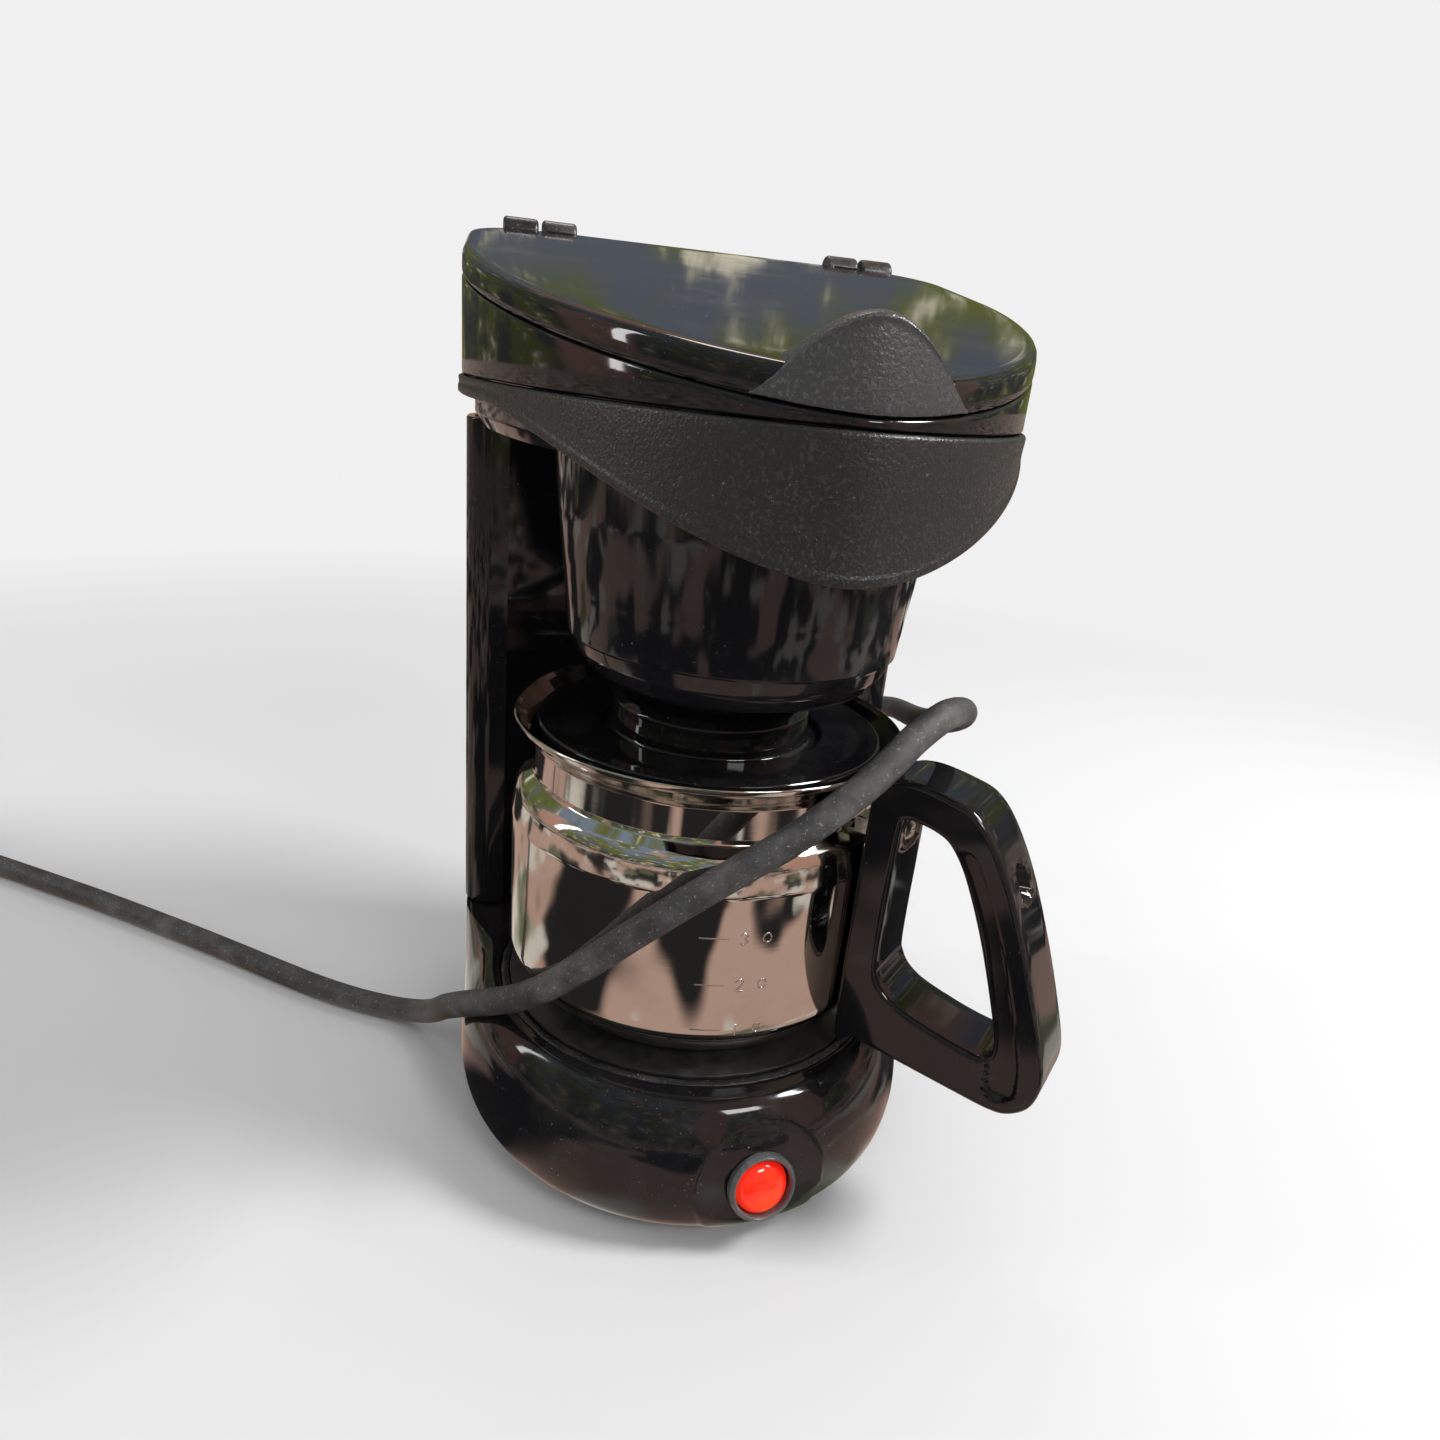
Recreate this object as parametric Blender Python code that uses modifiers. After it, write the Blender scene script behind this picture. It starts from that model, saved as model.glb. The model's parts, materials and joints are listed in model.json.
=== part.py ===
"""Four-cup drip coffee maker with a steel carafe: the separate pieces it is made of, each in its place.

Units are metres and +Z is up. The front of the machine looks along -Y. Lengths are written in
millimetres and turned to metres by MM. Every piece is drawn about the carafe's upright axis and
then carried to its place by one empty, so that the whole machine is centred over the origin.
"""

import math

import bmesh
import bpy
import numpy as np
from mathutils import Matrix, Vector

MM = 0.001
GAP = 0.3  # between pieces that touch

# Carafe axis in the machine's centred frame
AXIS_X = -8.96
AXIS_Y = 0.3

# Outline of tower and head, seen from above
HALF_WIDTH = 71.8
BACK_Y = 79.0
HEAD_FRONT_Y = -105.9
HEAD_STRAIGHT_Y = 18.0  # the sides are straight behind this
HEAD_POWER = 1.7  # superellipse power of the nose
HEAD_CORNER = 24.0
WALL = 2.5

# Base
BASE_HALF_WIDTH = 71.2
BASE_FRONT_Y = -75.0
BASE_CENTRE_Y = 2.9
BASE_HEIGHT = 44.7
BASE_BOTTOM = 3.0
BASE_CORNER = 22.0
BASE_SHOULDER = (12.0, 42.0)  # the rounded upper edge fades out between these, towards the tower
BASE_PROFILE = ((0.0, 8.4), (0.06, 5.0), (0.13, 2.4), (0.22, 0.8), (0.38, 0.0), (0.6, 0.8), (0.77, 2.8),
                (0.89, 5.2), (0.96, 7.2), (1.0, 9.2))  # share of the height, inset
WELL_CUT = 59.4
FOOT_RADIUS = 8.0
FOOT_HEIGHT = 2.7
COVER_THICK = 2.0

# Warming plate and what heats it
PLATE_RADIUS = 56.4
PLATE_TOP = 46.6
PLATE_THICK = 1.6
PLATE_DISH = 1.3
HEATER_OUTER = 44.0
HEATER_INNER = 31.0
HEATER_HEIGHT = 11.0
HEATER_OPEN = 38.0  # half angle of the horseshoe's opening, degrees
HOSE_RADIUS = 3.6
STUB_RADIUS = 4.0
STUB_X = 24.0
STUB_Z = 36.0
VALVE_Y = 68.4
RISER_X = 61.0
RISER_Y = 54.0

# Tower
TOWER_FRONT_Y = 40.0
TOWER_FRONT_CORNER = 8.0
TOWER_RECESS_HALF = 59.0
TOWER_RECESS_Y = 62.0
TOWER_TOP = 205.6
TANK_HALF_WIDTH = 56.8
TANK_WALL = 1.8
TANK_FLOOR = 58.0

# Head
HEAD_FLOOR = 206.0
HEAD_FLOOR_THICK = 2.5
SEAM_LOW = 218.2  # between textured band and gloss ring
SEAM_HIGH = 239.0  # between ring and lid, at the carafe axis
SEAM_SLOPE = 0.18  # rise of that seam per millimetre backwards
RING_STEP = 3.4  # how far the wall steps in behind the band
BAND_PROUD = 1.0
BAND_THICK = 2.2
BAND_DEPTH_FRONT = 27.0
BAND_DEPTH_BACK = 5.0
BAND_TAPER_Y = -25.0
BAND_POWER = 1.6

# Basket
FUNNEL_Y = -16.7
FUNNEL_TOP_RADIUS = 48.8
FUNNEL_STEP_Z = 159.7
FUNNEL_STEP_RADIUS = 43.1
FUNNEL_BOTTOM = 149.7
FUNNEL_BOTTOM_RADIUS = 36.5
FUNNEL_WALL = 2.2
FUNNEL_NOZZLE_RADIUS = 13.0
BASKET_CLEAR = 1.2
BASKET_WALL = 1.5
BASKET_FLOOR = 154.5
BASKET_TOP = 205.0
VALVE_RADIUS = 7.0
VALVE_STEM = 3.2
SPRING_WIRE = 0.8
SPRING_RADIUS = 5.2
SPRING_TURNS = 5

# Lid and hinge
LID_WALL_FRONT = 6.2
LID_BACK_Y = 74.0
LID_SKIN = 2.4
LID_RISE_BACK = 0.8
HINGE_Y = 77.0
HINGE_Z = 258.0
HINGE_X = 51.1
KNUCKLE_RADIUS = 4.3
KNUCKLE_LENGTH = 10.6
KNUCKLE_GAP = 1.0
PIN_RADIUS = 1.5
PIN_CLEAR = 0.1
TAB_HALF_WIDTH = 17.5
TAB_HEIGHT = 15.0
CHANNEL_Y = 44.0

# Switch on the base's front
SWITCH_X = 11.1
SWITCH_Y = -72.4
SWITCH_Z = 21.0
SWITCH_TURN = 8.7  # about the upright axis, degrees
SWITCH_TILT = 14.0  # leaning back, degrees
PANEL_RADIUS = 19.0
PANEL_FILL = 1.0  # how far the disc may stand out of the bulge below
BEZEL_RADIUS = 9.8
BEZEL_BORE = 7.5
BEZEL_PROUD = 2.2
BARREL_RADIUS = 7.9
ROCKER_RADIUS = 6.6
ROCKER_TILT = 5.0

# Carafe
CARAFE_BOTTOM = 47.2
CARAFE_FOOT_RADIUS = 46.0
CARAFE_RADIUS = 56.8
CARAFE_SHOULDER_Z = 96.5
CARAFE_NECK_RADIUS = 52.6
CARAFE_NECK_Z = 112.0
CARAFE_RIM_RADIUS = 56.5
CARAFE_RIM_Z = 131.0
CARAFE_WALL = 0.9
SPOUT_ANGLE = 130.0
CARAFE_LID_RADIUS = 51.0
CARAFE_LID_Z = 128.6
CARAFE_LID_RISE = 12.6

# Handle, in the upright plane through the carafe axis
HANDLE_ANGLE = -43.0
HANDLE_HALF_WIDTH = 10.5
HANDLE_OUTER = ((55.0, 127.6), (66.0, 132.6), (78.0, 131.4), (84.8, 129.2), (91.0, 123.0), (97.5, 111.0),
                (104.5, 95.0), (110.5, 79.0), (115.0, 65.0), (115.6, 59.0), (113.6, 53.0), (109.4, 48.6),
                (104.0, 47.6), (94.0, 48.4), (76.0, 50.2), (63.0, 51.6), (55.0, 53.6))
HANDLE_INNER = ((66.4, 121.4), (77.0, 120.2), (81.6, 117.2), (86.0, 110.4), (92.0, 97.0), (97.6, 82.6),
                (101.6, 70.6), (101.6, 65.2), (97.6, 62.4), (88.0, 63.4), (75.6, 66.6), (69.6, 70.6),
                (66.4, 77.0))
HANDLE_SLOT = ((80.4, 114.6), (83.2, 112.8), (89.6, 99.6), (95.6, 83.6), (101.2, 66.4), (106.6, 60.6),
               (108.4, 64.6), (104.6, 78.8), (98.6, 94.4), (91.6, 110.0), (87.4, 116.8), (82.6, 118.0))
SLOT_DEPTH = 1.6
DIMPLE_AT = (98.0, 108.6)
SCREW_Z = 115.0
SCREW_RADIUS = 3.2

# Cord, from the tower's back to the plug: hand-chosen route, in millimetres about the carafe axis
CORD_RADIUS = 4.0
CORD_STEP = 14.0
EXIT_X = 28.0
EXIT_Z = 66.0
RELIEF_LENGTH = 28.0
RELIEF_RADIUS = 6.4
CORD_ROUTE = ((28.0, 107.3, 66.0), (28.0, 112.0, 66.0), (28.6, 119.0, 66.4), (33.0, 130.0, 68.0), (43.5, 140.5, 72.0),
              (58.0, 145.0, 77.0), (73.0, 142.0, 83.0), (85.0, 132.5, 90.0), (91.0, 118.0, 96.0),
              (92.5, 100.0, 102.0), (90.5, 80.0, 108.0), (86.5, 60.0, 113.0), (81.5, 38.0, 118.5),
              (76.5, 16.0, 125.0), (71.5, -6.0, 133.0), (66.5, -24.0, 140.5), (59.5, -38.5, 146.6),
              (50.0, -48.5, 148.6), (40.0, -54.6, 144.0), (32.0, -58.4, 137.4), (22.0, -61.2, 129.6),
              (10.5, -63.2, 121.4), (-2.5, -63.4, 112.8), (-14.5, -61.6, 103.2), (-25.5, -58.4, 93.0),
              (-35.5, -53.6, 82.0), (-44.5, -46.4, 70.6), (-52.5, -36.6, 59.6), (-60.5, -26.0, 50.6),
              (-68.6, -14.6, 42.0), (-75.6, -1.0, 31.6), (-80.0, 13.4, 20.0), (-85.4, 26.6, 10.2),
              (-95.0, 36.0, 5.0), (-109.0, 43.0, 4.3), (-125.0, 52.4, 4.3), (-143.2, 65.0, 4.3),
              (-165.4, 80.8, 4.3), (-191.0, 98.4, 4.3), (-217.9, 116.2, 4.3), (-243.0, 132.0, 4.3),
              (-268.0, 147.4, 4.3), (-290.0, 160.6, 4.3))
PLUG_LENGTH = 34.0
PLUG_HALF_WIDTH = 12.5
PLUG_HALF_HEIGHT = 8.0
BLADE_SPACING = 12.7
BLADE_LENGTH = 17.5
BLADE_SIZE = (1.5, 6.3)

# Colours: base colour, roughness, metallic
FINISHES = {
    "gloss_black": ((0.012, 0.012, 0.013), 0.12, 0.0),
    "grained_black": ((0.035, 0.035, 0.036), 0.55, 0.0),
    "steel": ((0.62, 0.61, 0.59), 0.12, 1.0),
    "plate_black": ((0.02, 0.02, 0.02), 0.4, 0.4),
    "aluminium": ((0.7, 0.7, 0.7), 0.35, 1.0),
    "rubber": ((0.05, 0.05, 0.05), 0.8, 0.0),
    "silicone": ((0.75, 0.75, 0.72), 0.5, 0.0),
    "tank_plastic": ((0.08, 0.08, 0.085), 0.3, 0.0),
    "basket_plastic": ((0.02, 0.02, 0.021), 0.35, 0.0),
    "switch_grey": ((0.09, 0.09, 0.09), 0.35, 0.0),
    "lens_red": ((0.8, 0.02, 0.01), 0.15, 0.0),
    "brass": ((0.78, 0.6, 0.3), 0.3, 1.0),
    "glass": ((0.9, 0.6, 0.4), 0.1, 0.0),
}


# ---------------------------------------------------------------- scene helpers

def clear_scene():
    """Removes whatever the file held before."""
    for obj in list(bpy.data.objects):
        bpy.data.objects.remove(obj, do_unlink=True)


def collection(name):
    """A collection of that name, linked to the scene."""
    made = bpy.data.collections.new(name)
    bpy.context.scene.collection.children.link(made)
    return made


def finish(name):
    """A Principled material with the named colour, roughness and metallic value."""
    if name in bpy.data.materials:
        return bpy.data.materials[name]
    colour, roughness, metallic = FINISHES[name]
    made = bpy.data.materials.new(name)
    made.use_nodes = True
    shader = made.node_tree.nodes["Principled BSDF"]
    shader.inputs["Base Color"].default_value = (*colour, 1.0)
    shader.inputs["Roughness"].default_value = roughness
    shader.inputs["Metallic"].default_value = metallic
    return made


def add(name, mesh, material, parent=None, place=None):
    """An object from a mesh, in the machine's collection and under its empty."""
    mesh.materials.clear()
    mesh.materials.append(finish(material))
    mesh.shade_smooth()
    mesh.set_sharp_from_angle(angle=math.radians(32))
    obj = bpy.data.objects.new(name, mesh)
    MACHINE.objects.link(obj)
    obj.parent = parent or AXIS
    if place is not None:
        obj.matrix_local = place
    return obj


def empty(name, location, rotation=(0.0, 0.0, 0.0), parent=None):
    """An empty that stands on a joint's axis and carries the pieces that move about it."""
    obj = bpy.data.objects.new(name, None)
    MACHINE.objects.link(obj)
    obj.location = Vector(location) * MM
    obj.rotation_euler = rotation
    obj.parent = parent or AXIS
    return obj


def scaled(bm, name):
    """A mesh in metres from a bmesh in millimetres, with its faces pointing out."""
    bmesh.ops.recalc_face_normals(bm, faces=bm.faces)
    bmesh.ops.scale(bm, vec=(MM, MM, MM), verts=bm.verts)
    mesh = bpy.data.meshes.new(name)
    bm.to_mesh(mesh)
    bm.free()
    return mesh


def boolean(mesh, cutter, operation="DIFFERENCE"):
    """The mesh with the cutter taken away, or joined; both are in the same place."""
    target = bpy.data.objects.new("target", mesh)
    tool = bpy.data.objects.new("tool", cutter)
    CUTTERS.objects.link(target)
    CUTTERS.objects.link(tool)
    tool.display_type = "WIRE"
    tool.hide_render = True
    step = target.modifiers.new("cut", "BOOLEAN")
    step.operation = operation
    step.solver = "EXACT"
    step.object = tool
    evaluated = target.evaluated_get(bpy.context.evaluated_depsgraph_get())
    made = bpy.data.meshes.new_from_object(evaluated)
    bpy.data.objects.remove(target)
    bpy.data.objects.remove(tool)
    return made


# ---------------------------------------------------------------- shapes

def box(size, centre):
    """A cuboid mesh."""
    bm = bmesh.new()
    bmesh.ops.create_cube(bm, size=1.0)
    bmesh.ops.scale(bm, vec=size, verts=bm.verts)
    bmesh.ops.translate(bm, vec=centre, verts=bm.verts)
    return scaled(bm, "box")


def rod(radius, start, end, segments=24):
    """A capped cylinder from one point to another."""
    start = Vector(start)
    end = Vector(end)
    along = end - start
    bm = bmesh.new()
    bmesh.ops.create_cone(bm, cap_ends=True, segments=segments, radius1=radius, radius2=radius,
                          depth=along.length)
    turn = along.to_track_quat("Z", "Y").to_matrix().to_4x4()
    bmesh.ops.transform(bm, matrix=Matrix.Translation((start + end) / 2) @ turn, verts=bm.verts)
    return scaled(bm, "rod")


def turned(profile, centre=(0.0, 0.0), segments=36):
    """A solid turned about an upright axis with a Screw modifier; the profile runs from top to bottom."""
    bm = bmesh.new()
    verts = [bm.verts.new((radius, 0.0, height)) for radius, height in profile]
    for first, second in zip(verts, [*verts[1:], verts[0]]):
        if first.co.x > 0 or second.co.x > 0:
            bm.edges.new((first, second))
    bmesh.ops.scale(bm, vec=(MM, MM, MM), verts=bm.verts)
    outline = bpy.data.meshes.new("profile")
    bm.to_mesh(outline)
    bm.free()
    obj = bpy.data.objects.new("profile", outline)
    CUTTERS.objects.link(obj)
    screw = obj.modifiers.new("turn", "SCREW")
    screw.steps = segments
    screw.render_steps = segments
    screw.use_merge_vertices = True
    screw.merge_threshold = 0.00002
    evaluated = obj.evaluated_get(bpy.context.evaluated_depsgraph_get())
    mesh = bpy.data.meshes.new_from_object(evaluated)
    bpy.data.objects.remove(obj)
    bm = bmesh.new()
    bm.from_mesh(mesh)
    bmesh.ops.remove_doubles(bm, verts=bm.verts, dist=0.00001)
    bmesh.ops.recalc_face_normals(bm, faces=bm.faces)
    bmesh.ops.translate(bm, vec=(centre[0] * MM, centre[1] * MM, 0.0), verts=bm.verts)
    bm.to_mesh(mesh)
    bm.free()
    return mesh


def loft(rings, closed=False):
    """A solid through rings with equal counts; closed joins the last ring to the first, as a wall does."""
    bm = bmesh.new()
    rows = [[bm.verts.new(point) for point in ring] for ring in rings]
    pairs = list(zip(rows, rows[1:]))
    if closed:
        pairs.append((rows[-1], rows[0]))
    for low, high in pairs:
        count = len(low)
        for i in range(count):
            j = (i + 1) % count
            bm.faces.new((low[i], low[j], high[j], high[i]))
    if not closed:
        bm.faces.new(rows[0])
        bm.faces.new(rows[-1])
    return scaled(bm, "loft")


def prism(outline, low, high):
    """An upright prism on a flat outline."""
    return loft([level(outline, low), level(outline, high)])


def level(outline, height):
    """A flat outline set at a height, which may be a number or a function of y."""
    if callable(height):
        return [(x, y, height(y)) for x, y in outline]
    return [(x, y, height) for x, y in outline]


def tube(points, radius, name, material, parent=None, resolution=2, kind="tube"):
    """A round solid along points: a POLY curve with a bevel and filled caps, kept as a curve."""
    curve = bpy.data.curves.new(kind, "CURVE")
    curve.dimensions = "3D"
    curve.bevel_depth = radius * MM
    curve.bevel_resolution = resolution
    curve.use_fill_caps = True
    spline = curve.splines.new("POLY")
    spline.points.add(len(points) - 1)
    for at, point in zip(spline.points, points):
        at.co = (*(Vector(point) * MM), 1.0)
    curve.materials.append(finish(material))
    obj = bpy.data.objects.new(name, curve)
    MACHINE.objects.link(obj)
    obj.parent = parent or AXIS
    return obj


def smooth_route(route, step):
    """Points a step apart on the Catmull-Rom curve through the route's own points."""
    given = np.array(route, float)
    padded = np.vstack([2 * given[0] - given[1], given, 2 * given[-1] - given[-2]])
    share = np.linspace(0.0, 1.0, 12, endpoint=False)[:, None]
    fine = []
    for i in range(len(given) - 1):
        a, b, c, d = padded[i:i + 4]
        fine.append(0.5 * (2 * b + (c - a) * share + (2 * a - 5 * b + 4 * c - d) * share ** 2
                           + (3 * b - a - 3 * c + d) * share ** 3))
    fine = np.vstack([*fine, given[-1:]])
    run = np.concatenate([[0.0], np.cumsum(np.linalg.norm(np.diff(fine, axis=0), axis=1))])
    count = int(round(run[-1] / step)) + 1
    marks = np.linspace(0.0, run[-1], count)
    return np.stack([np.interp(marks, run, fine[:, k]) for k in range(3)], axis=1)


def arc(centre, radius, start, end, count):
    """Points on a circle between two angles in degrees."""
    angles = np.radians(np.linspace(start, end, count))
    return [(centre[0] + radius * math.cos(a), centre[1] + radius * math.sin(a)) for a in angles]


def mirrored(half):
    """A half outline at +X, front to back, closed by its mirror image."""
    other = [(-x, y) for x, y in reversed(half) if x > 1e-6]
    return [*half, *other]


# ---------------------------------------------------------------- outlines

def nose(half_width, front, straight, power, count=12):
    """The right half of a superellipse from its front point to where the side runs straight."""
    points = []
    for t in np.linspace(0.0, math.pi / 2, count):
        x = half_width * math.sin(t) ** (2 / power)
        y = straight - (straight - front) * math.cos(t) ** (2 / power)
        points.append((x, y))
    points[-1] = (half_width, straight)
    return points


def head_outline(inset=0.0, back_inset=None):
    """Head seen from above, moved in by an inset."""
    back = BACK_Y - (inset if back_inset is None else back_inset)
    half_width = HALF_WIDTH - inset
    corner = max(HEAD_CORNER - inset, 2.0)
    half = nose(half_width, HEAD_FRONT_Y + inset, HEAD_STRAIGHT_Y, HEAD_POWER)
    half += arc((half_width - corner, back - corner), corner, 0, 90, 5)
    return mirrored(half)


def base_outline(inset=0.0, wall=0.0, shoulder=False):
    """Base seen from above; the inset of a shoulder fades out towards the tower, a wall's does not."""
    back_inset = 0.0 if shoulder else inset
    back = BACK_Y - back_inset - wall
    corner = max(BASE_CORNER - back_inset - wall, 2.0)
    half = nose(BASE_HALF_WIDTH - wall, BASE_FRONT_Y + wall, BASE_CENTRE_Y, 2.0)
    scale = (BASE_HALF_WIDTH - wall - inset) / (BASE_HALF_WIDTH - wall)
    half = [(x * scale, BASE_CENTRE_Y + (y - BASE_CENTRE_Y) * scale) for x, y in half]
    start, end = BASE_SHOULDER
    for y in np.linspace(start, end, 5):
        share = (y - start) / (end - start)
        fade = share * share * (3 - 2 * share)
        side_inset = inset + (back_inset - inset) * fade
        half.append((BASE_HALF_WIDTH - wall - side_inset, float(y)))
    side = BASE_HALF_WIDTH - wall - back_inset
    half += arc((side - corner, back - corner), corner, 0, 90, 5)
    return mirrored(half)


def tower_outline(inset=0.0, half_width=HALF_WIDTH):
    """Tower seen from above: its front is hollowed to follow the carafe."""
    side = half_width - inset
    back = BACK_Y - inset
    corner = max(HEAD_CORNER - inset, 3.0)
    front_corner = max(TOWER_FRONT_CORNER - inset, 2.0)
    front = TOWER_FRONT_Y + inset
    spread = TOWER_RECESS_HALF ** 2 - TOWER_RECESS_Y ** 2 + TOWER_FRONT_Y ** 2
    centre = spread / (2 * (TOWER_FRONT_Y - TOWER_RECESS_Y))
    radius = TOWER_RECESS_Y - centre + inset
    reach = min(math.sqrt(radius ** 2 - (front - centre) ** 2), side - front_corner - 0.5)
    front = centre + math.sqrt(radius ** 2 - reach ** 2)
    edge = math.degrees(math.acos(reach / radius))
    corner = min(corner, back - front - front_corner - 0.5)
    half = arc((0.0, centre), radius, 90, edge, 7)
    half += arc((side - front_corner, front + front_corner), front_corner, -90, 0, 4)
    half += arc((side - corner, back - corner), corner, 0, 90, 5)
    return mirrored(half)


def seam(offset=0.0):
    """Height of the sloped seam at a place, raised by an offset."""
    return lambda y: SEAM_HIGH + SEAM_SLOPE * y + offset


def band_depth(y):
    """How far the textured band hangs below its upper edge at a place."""
    share = max((BAND_TAPER_Y - y) / (BAND_TAPER_Y - HEAD_FRONT_Y), 0.0)
    return BAND_DEPTH_BACK + (BAND_DEPTH_FRONT - BAND_DEPTH_BACK) * share ** BAND_POWER


def funnel_hole():
    """Radius of the opening in the head's floor."""
    return FUNNEL_TOP_RADIUS + GAP


# ---------------------------------------------------------------- base

def switch_frame():
    """Place of the switch: its local Z points out of the base's front."""
    turn = Matrix.Rotation(math.radians(SWITCH_TURN), 4, "Z")
    lean = Matrix.Rotation(math.radians(90.0 - SWITCH_TILT), 4, "X")
    return Matrix.Translation(Vector((SWITCH_X, SWITCH_Y, SWITCH_Z)) * MM) @ turn @ lean


def at_switch(mesh):
    """A mesh drawn about the switch, moved to its place."""
    mesh.transform(switch_frame())
    return mesh


def screw_places():
    """Where the bottom cover's screws and bosses stand, and which way each boss's rib runs."""
    reach = WELL_CUT * 0.7
    return [(-reach, -reach, 225), (reach, -reach, 315), (0.0, BACK_Y - 19.0, 90)]


def boss(x, y, turn):
    """A screw boss with a rib that ties it to the wall."""
    low = BASE_BOTTOM + COVER_THICK + GAP
    high = PLATE_TOP - 10.6
    rib = box((16, 2.4, high - low), (8, 0, (low + high) / 2))
    rib.transform(Matrix.Translation(Vector((x, y, 0)) * MM) @ Matrix.Rotation(math.radians(turn), 4, "Z"))
    return boolean(rod(4.0, (x, y, low), (x, y, high), 16), rib, "UNION")


def outer_limit():
    """The base's bulge grown a little: what the switch's disc may fill."""
    height = BASE_HEIGHT - BASE_BOTTOM
    return loft([level(base_outline(inset - PANEL_FILL), BASE_BOTTOM + 0.2 + share * (height - 0.4))
                 for share, inset in BASE_PROFILE])


def make_base_housing():
    """Base shell with bulging sides, open below, with the well, the switch's flat disc and three bosses."""
    height = BASE_HEIGHT - BASE_BOTTOM
    outer = loft([level(base_outline(inset, 0.0, share > 0.5), BASE_BOTTOM + share * height)
                  for share, inset in BASE_PROFILE])
    disc = boolean(at_switch(rod(PANEL_RADIUS, (0, 0, -9), (0, 0, 9), 40)), outer_limit(), "INTERSECT")
    outer = boolean(outer, disc, "UNION")
    outer = boolean(outer, at_switch(rod(PANEL_RADIUS, (0, 0, -1), (0, 0, 14), 40)))
    ceiling = (BASE_HEIGHT - WALL - BASE_BOTTOM) / height
    inner_rings = [level(base_outline(BASE_PROFILE[0][1], WALL), BASE_BOTTOM - 2)]
    for share, inset in BASE_PROFILE[:-1]:
        at = BASE_BOTTOM + min(share, ceiling) * height
        inner_rings.append(level(base_outline(inset, WALL, share > 0.5), at))
    inner = loft(inner_rings)
    inner = boolean(inner, at_switch(rod(PANEL_RADIUS + 2, (0, 0, -4), (0, 0, 14), 40)))
    for x, y, turn in screw_places():
        inner = boolean(inner, boss(x, y, turn))
    mesh = boolean(outer, inner)
    mesh = boolean(mesh, rod(WELL_CUT, (0, 0, BASE_HEIGHT - WALL - 4), (0, 0, BASE_HEIGHT + 4), 64))
    mesh = boolean(mesh, at_switch(rod(BARREL_RADIUS + GAP, (0, 0, -8), (0, 0, 4), 32)))
    for x, y in ((-STUB_X, VALVE_Y), (RISER_X, RISER_Y)):
        mesh = boolean(mesh, rod(HOSE_RADIUS + 1.6, (x, y, BASE_HEIGHT - 8), (x, y, BASE_HEIGHT + 6), 20))
    for x, y, _ in screw_places():
        mesh = boolean(mesh, rod(1.8, (x, y, 0), (x, y, 16), 12))
    return add("base_housing", mesh, "gloss_black")


def make_bottom_cover():
    """Flat plate that closes the base, with holes for its screws."""
    outline = base_outline(BASE_PROFILE[0][1] + 0.4, WALL + GAP)
    mesh = prism(outline, BASE_BOTTOM, BASE_BOTTOM + COVER_THICK)
    for x, y, _ in screw_places():
        mesh = boolean(mesh, rod(1.9, (x, y, 0), (x, y, 8), 12))
    return add("bottom_cover", mesh, "grained_black")


def make_feet():
    """Four rubber feet under the cover."""
    places = {"front_left": (-20, -50), "front_right": (20, -50), "rear_left": (-48, 56), "rear_right": (48, 56)}
    profile = ((0, FOOT_HEIGHT), (FOOT_RADIUS, FOOT_HEIGHT), (FOOT_RADIUS, 0.8), (FOOT_RADIUS - 0.8, 0), (0, 0))
    for side, (x, y) in places.items():
        add("foot_" + side, turned(profile, (x, y), 20), "rubber")


def make_cover_screws():
    """Three screws that hold the bottom cover to the bosses."""
    head = BASE_BOTTOM - GAP
    profile = ((0, 13.0), (1.5, 12.6), (1.5, head), (3.2, head), (3.2, head - 1.2), (2.4, head - 2.0), (0, head - 2.0))
    for number, (x, y, _) in enumerate(screw_places(), 1):
        add("cover_screw_%d" % number, turned(profile, (x, y), 12), "steel")


def make_plate():
    """Dished warming plate and the silicone ring round it."""
    low = PLATE_TOP - PLATE_THICK
    dish = PLATE_TOP - PLATE_DISH
    rim = PLATE_RADIUS - 5
    profile = ((0, PLATE_TOP), (rim - 3, PLATE_TOP), (rim - 1, dish), (PLATE_RADIUS, dish),
               (PLATE_RADIUS, dish - PLATE_THICK), (rim - 1.6, dish - PLATE_THICK), (rim - 3.6, low), (0, low))
    add("warming_plate", turned(profile, segments=40), "plate_black")
    inner = PLATE_RADIUS + GAP
    outer = WELL_CUT - GAP
    top = BASE_HEIGHT - 0.4
    profile = ((inner, top), (outer, top), (outer, top - 4), (inner, top - 4))
    add("plate_gasket", turned(profile, segments=40), "silicone")


def heater_top():
    """Top of the heater, just under the plate."""
    return PLATE_TOP - PLATE_THICK - GAP


def make_heater():
    """Horseshoe heater with two stubs for the hoses."""
    start = 90 + HEATER_OPEN
    end = 450 - HEATER_OPEN
    outline = arc((0, 0), HEATER_OUTER, start, end, 33) + arc((0, 0), HEATER_INNER, end, start, 33)
    high = heater_top()
    mesh = prism(outline, high - HEATER_HEIGHT, high)
    for x in (-STUB_X, STUB_X):
        mesh = boolean(mesh, rod(STUB_RADIUS, (x, 26, STUB_Z), (x, 42, STUB_Z), 16), "UNION")
    return add("heater", mesh, "aluminium")


def make_thermal_parts():
    """Thermostat under the plate's middle, with its bracket, and the sleeved fuse beside it."""
    high = heater_top()
    low = high - HEATER_HEIGHT
    profile = ((0, high), (8.2, high), (8.2, high - 2), (7.0, high - 2.4), (7.0, low), (0, low))
    add("thermostat", turned(profile, segments=28), "aluminium")
    mesh = box((2 * HEATER_INNER + 16, 12, 0.8), (0, 0, low - GAP - 0.4))
    add("thermostat_bracket", mesh, "steel")
    add("thermal_fuse", rod(2.0, (-13, 15, high - 5), (13, 15, high - 5), 16), "silicone")


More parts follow.
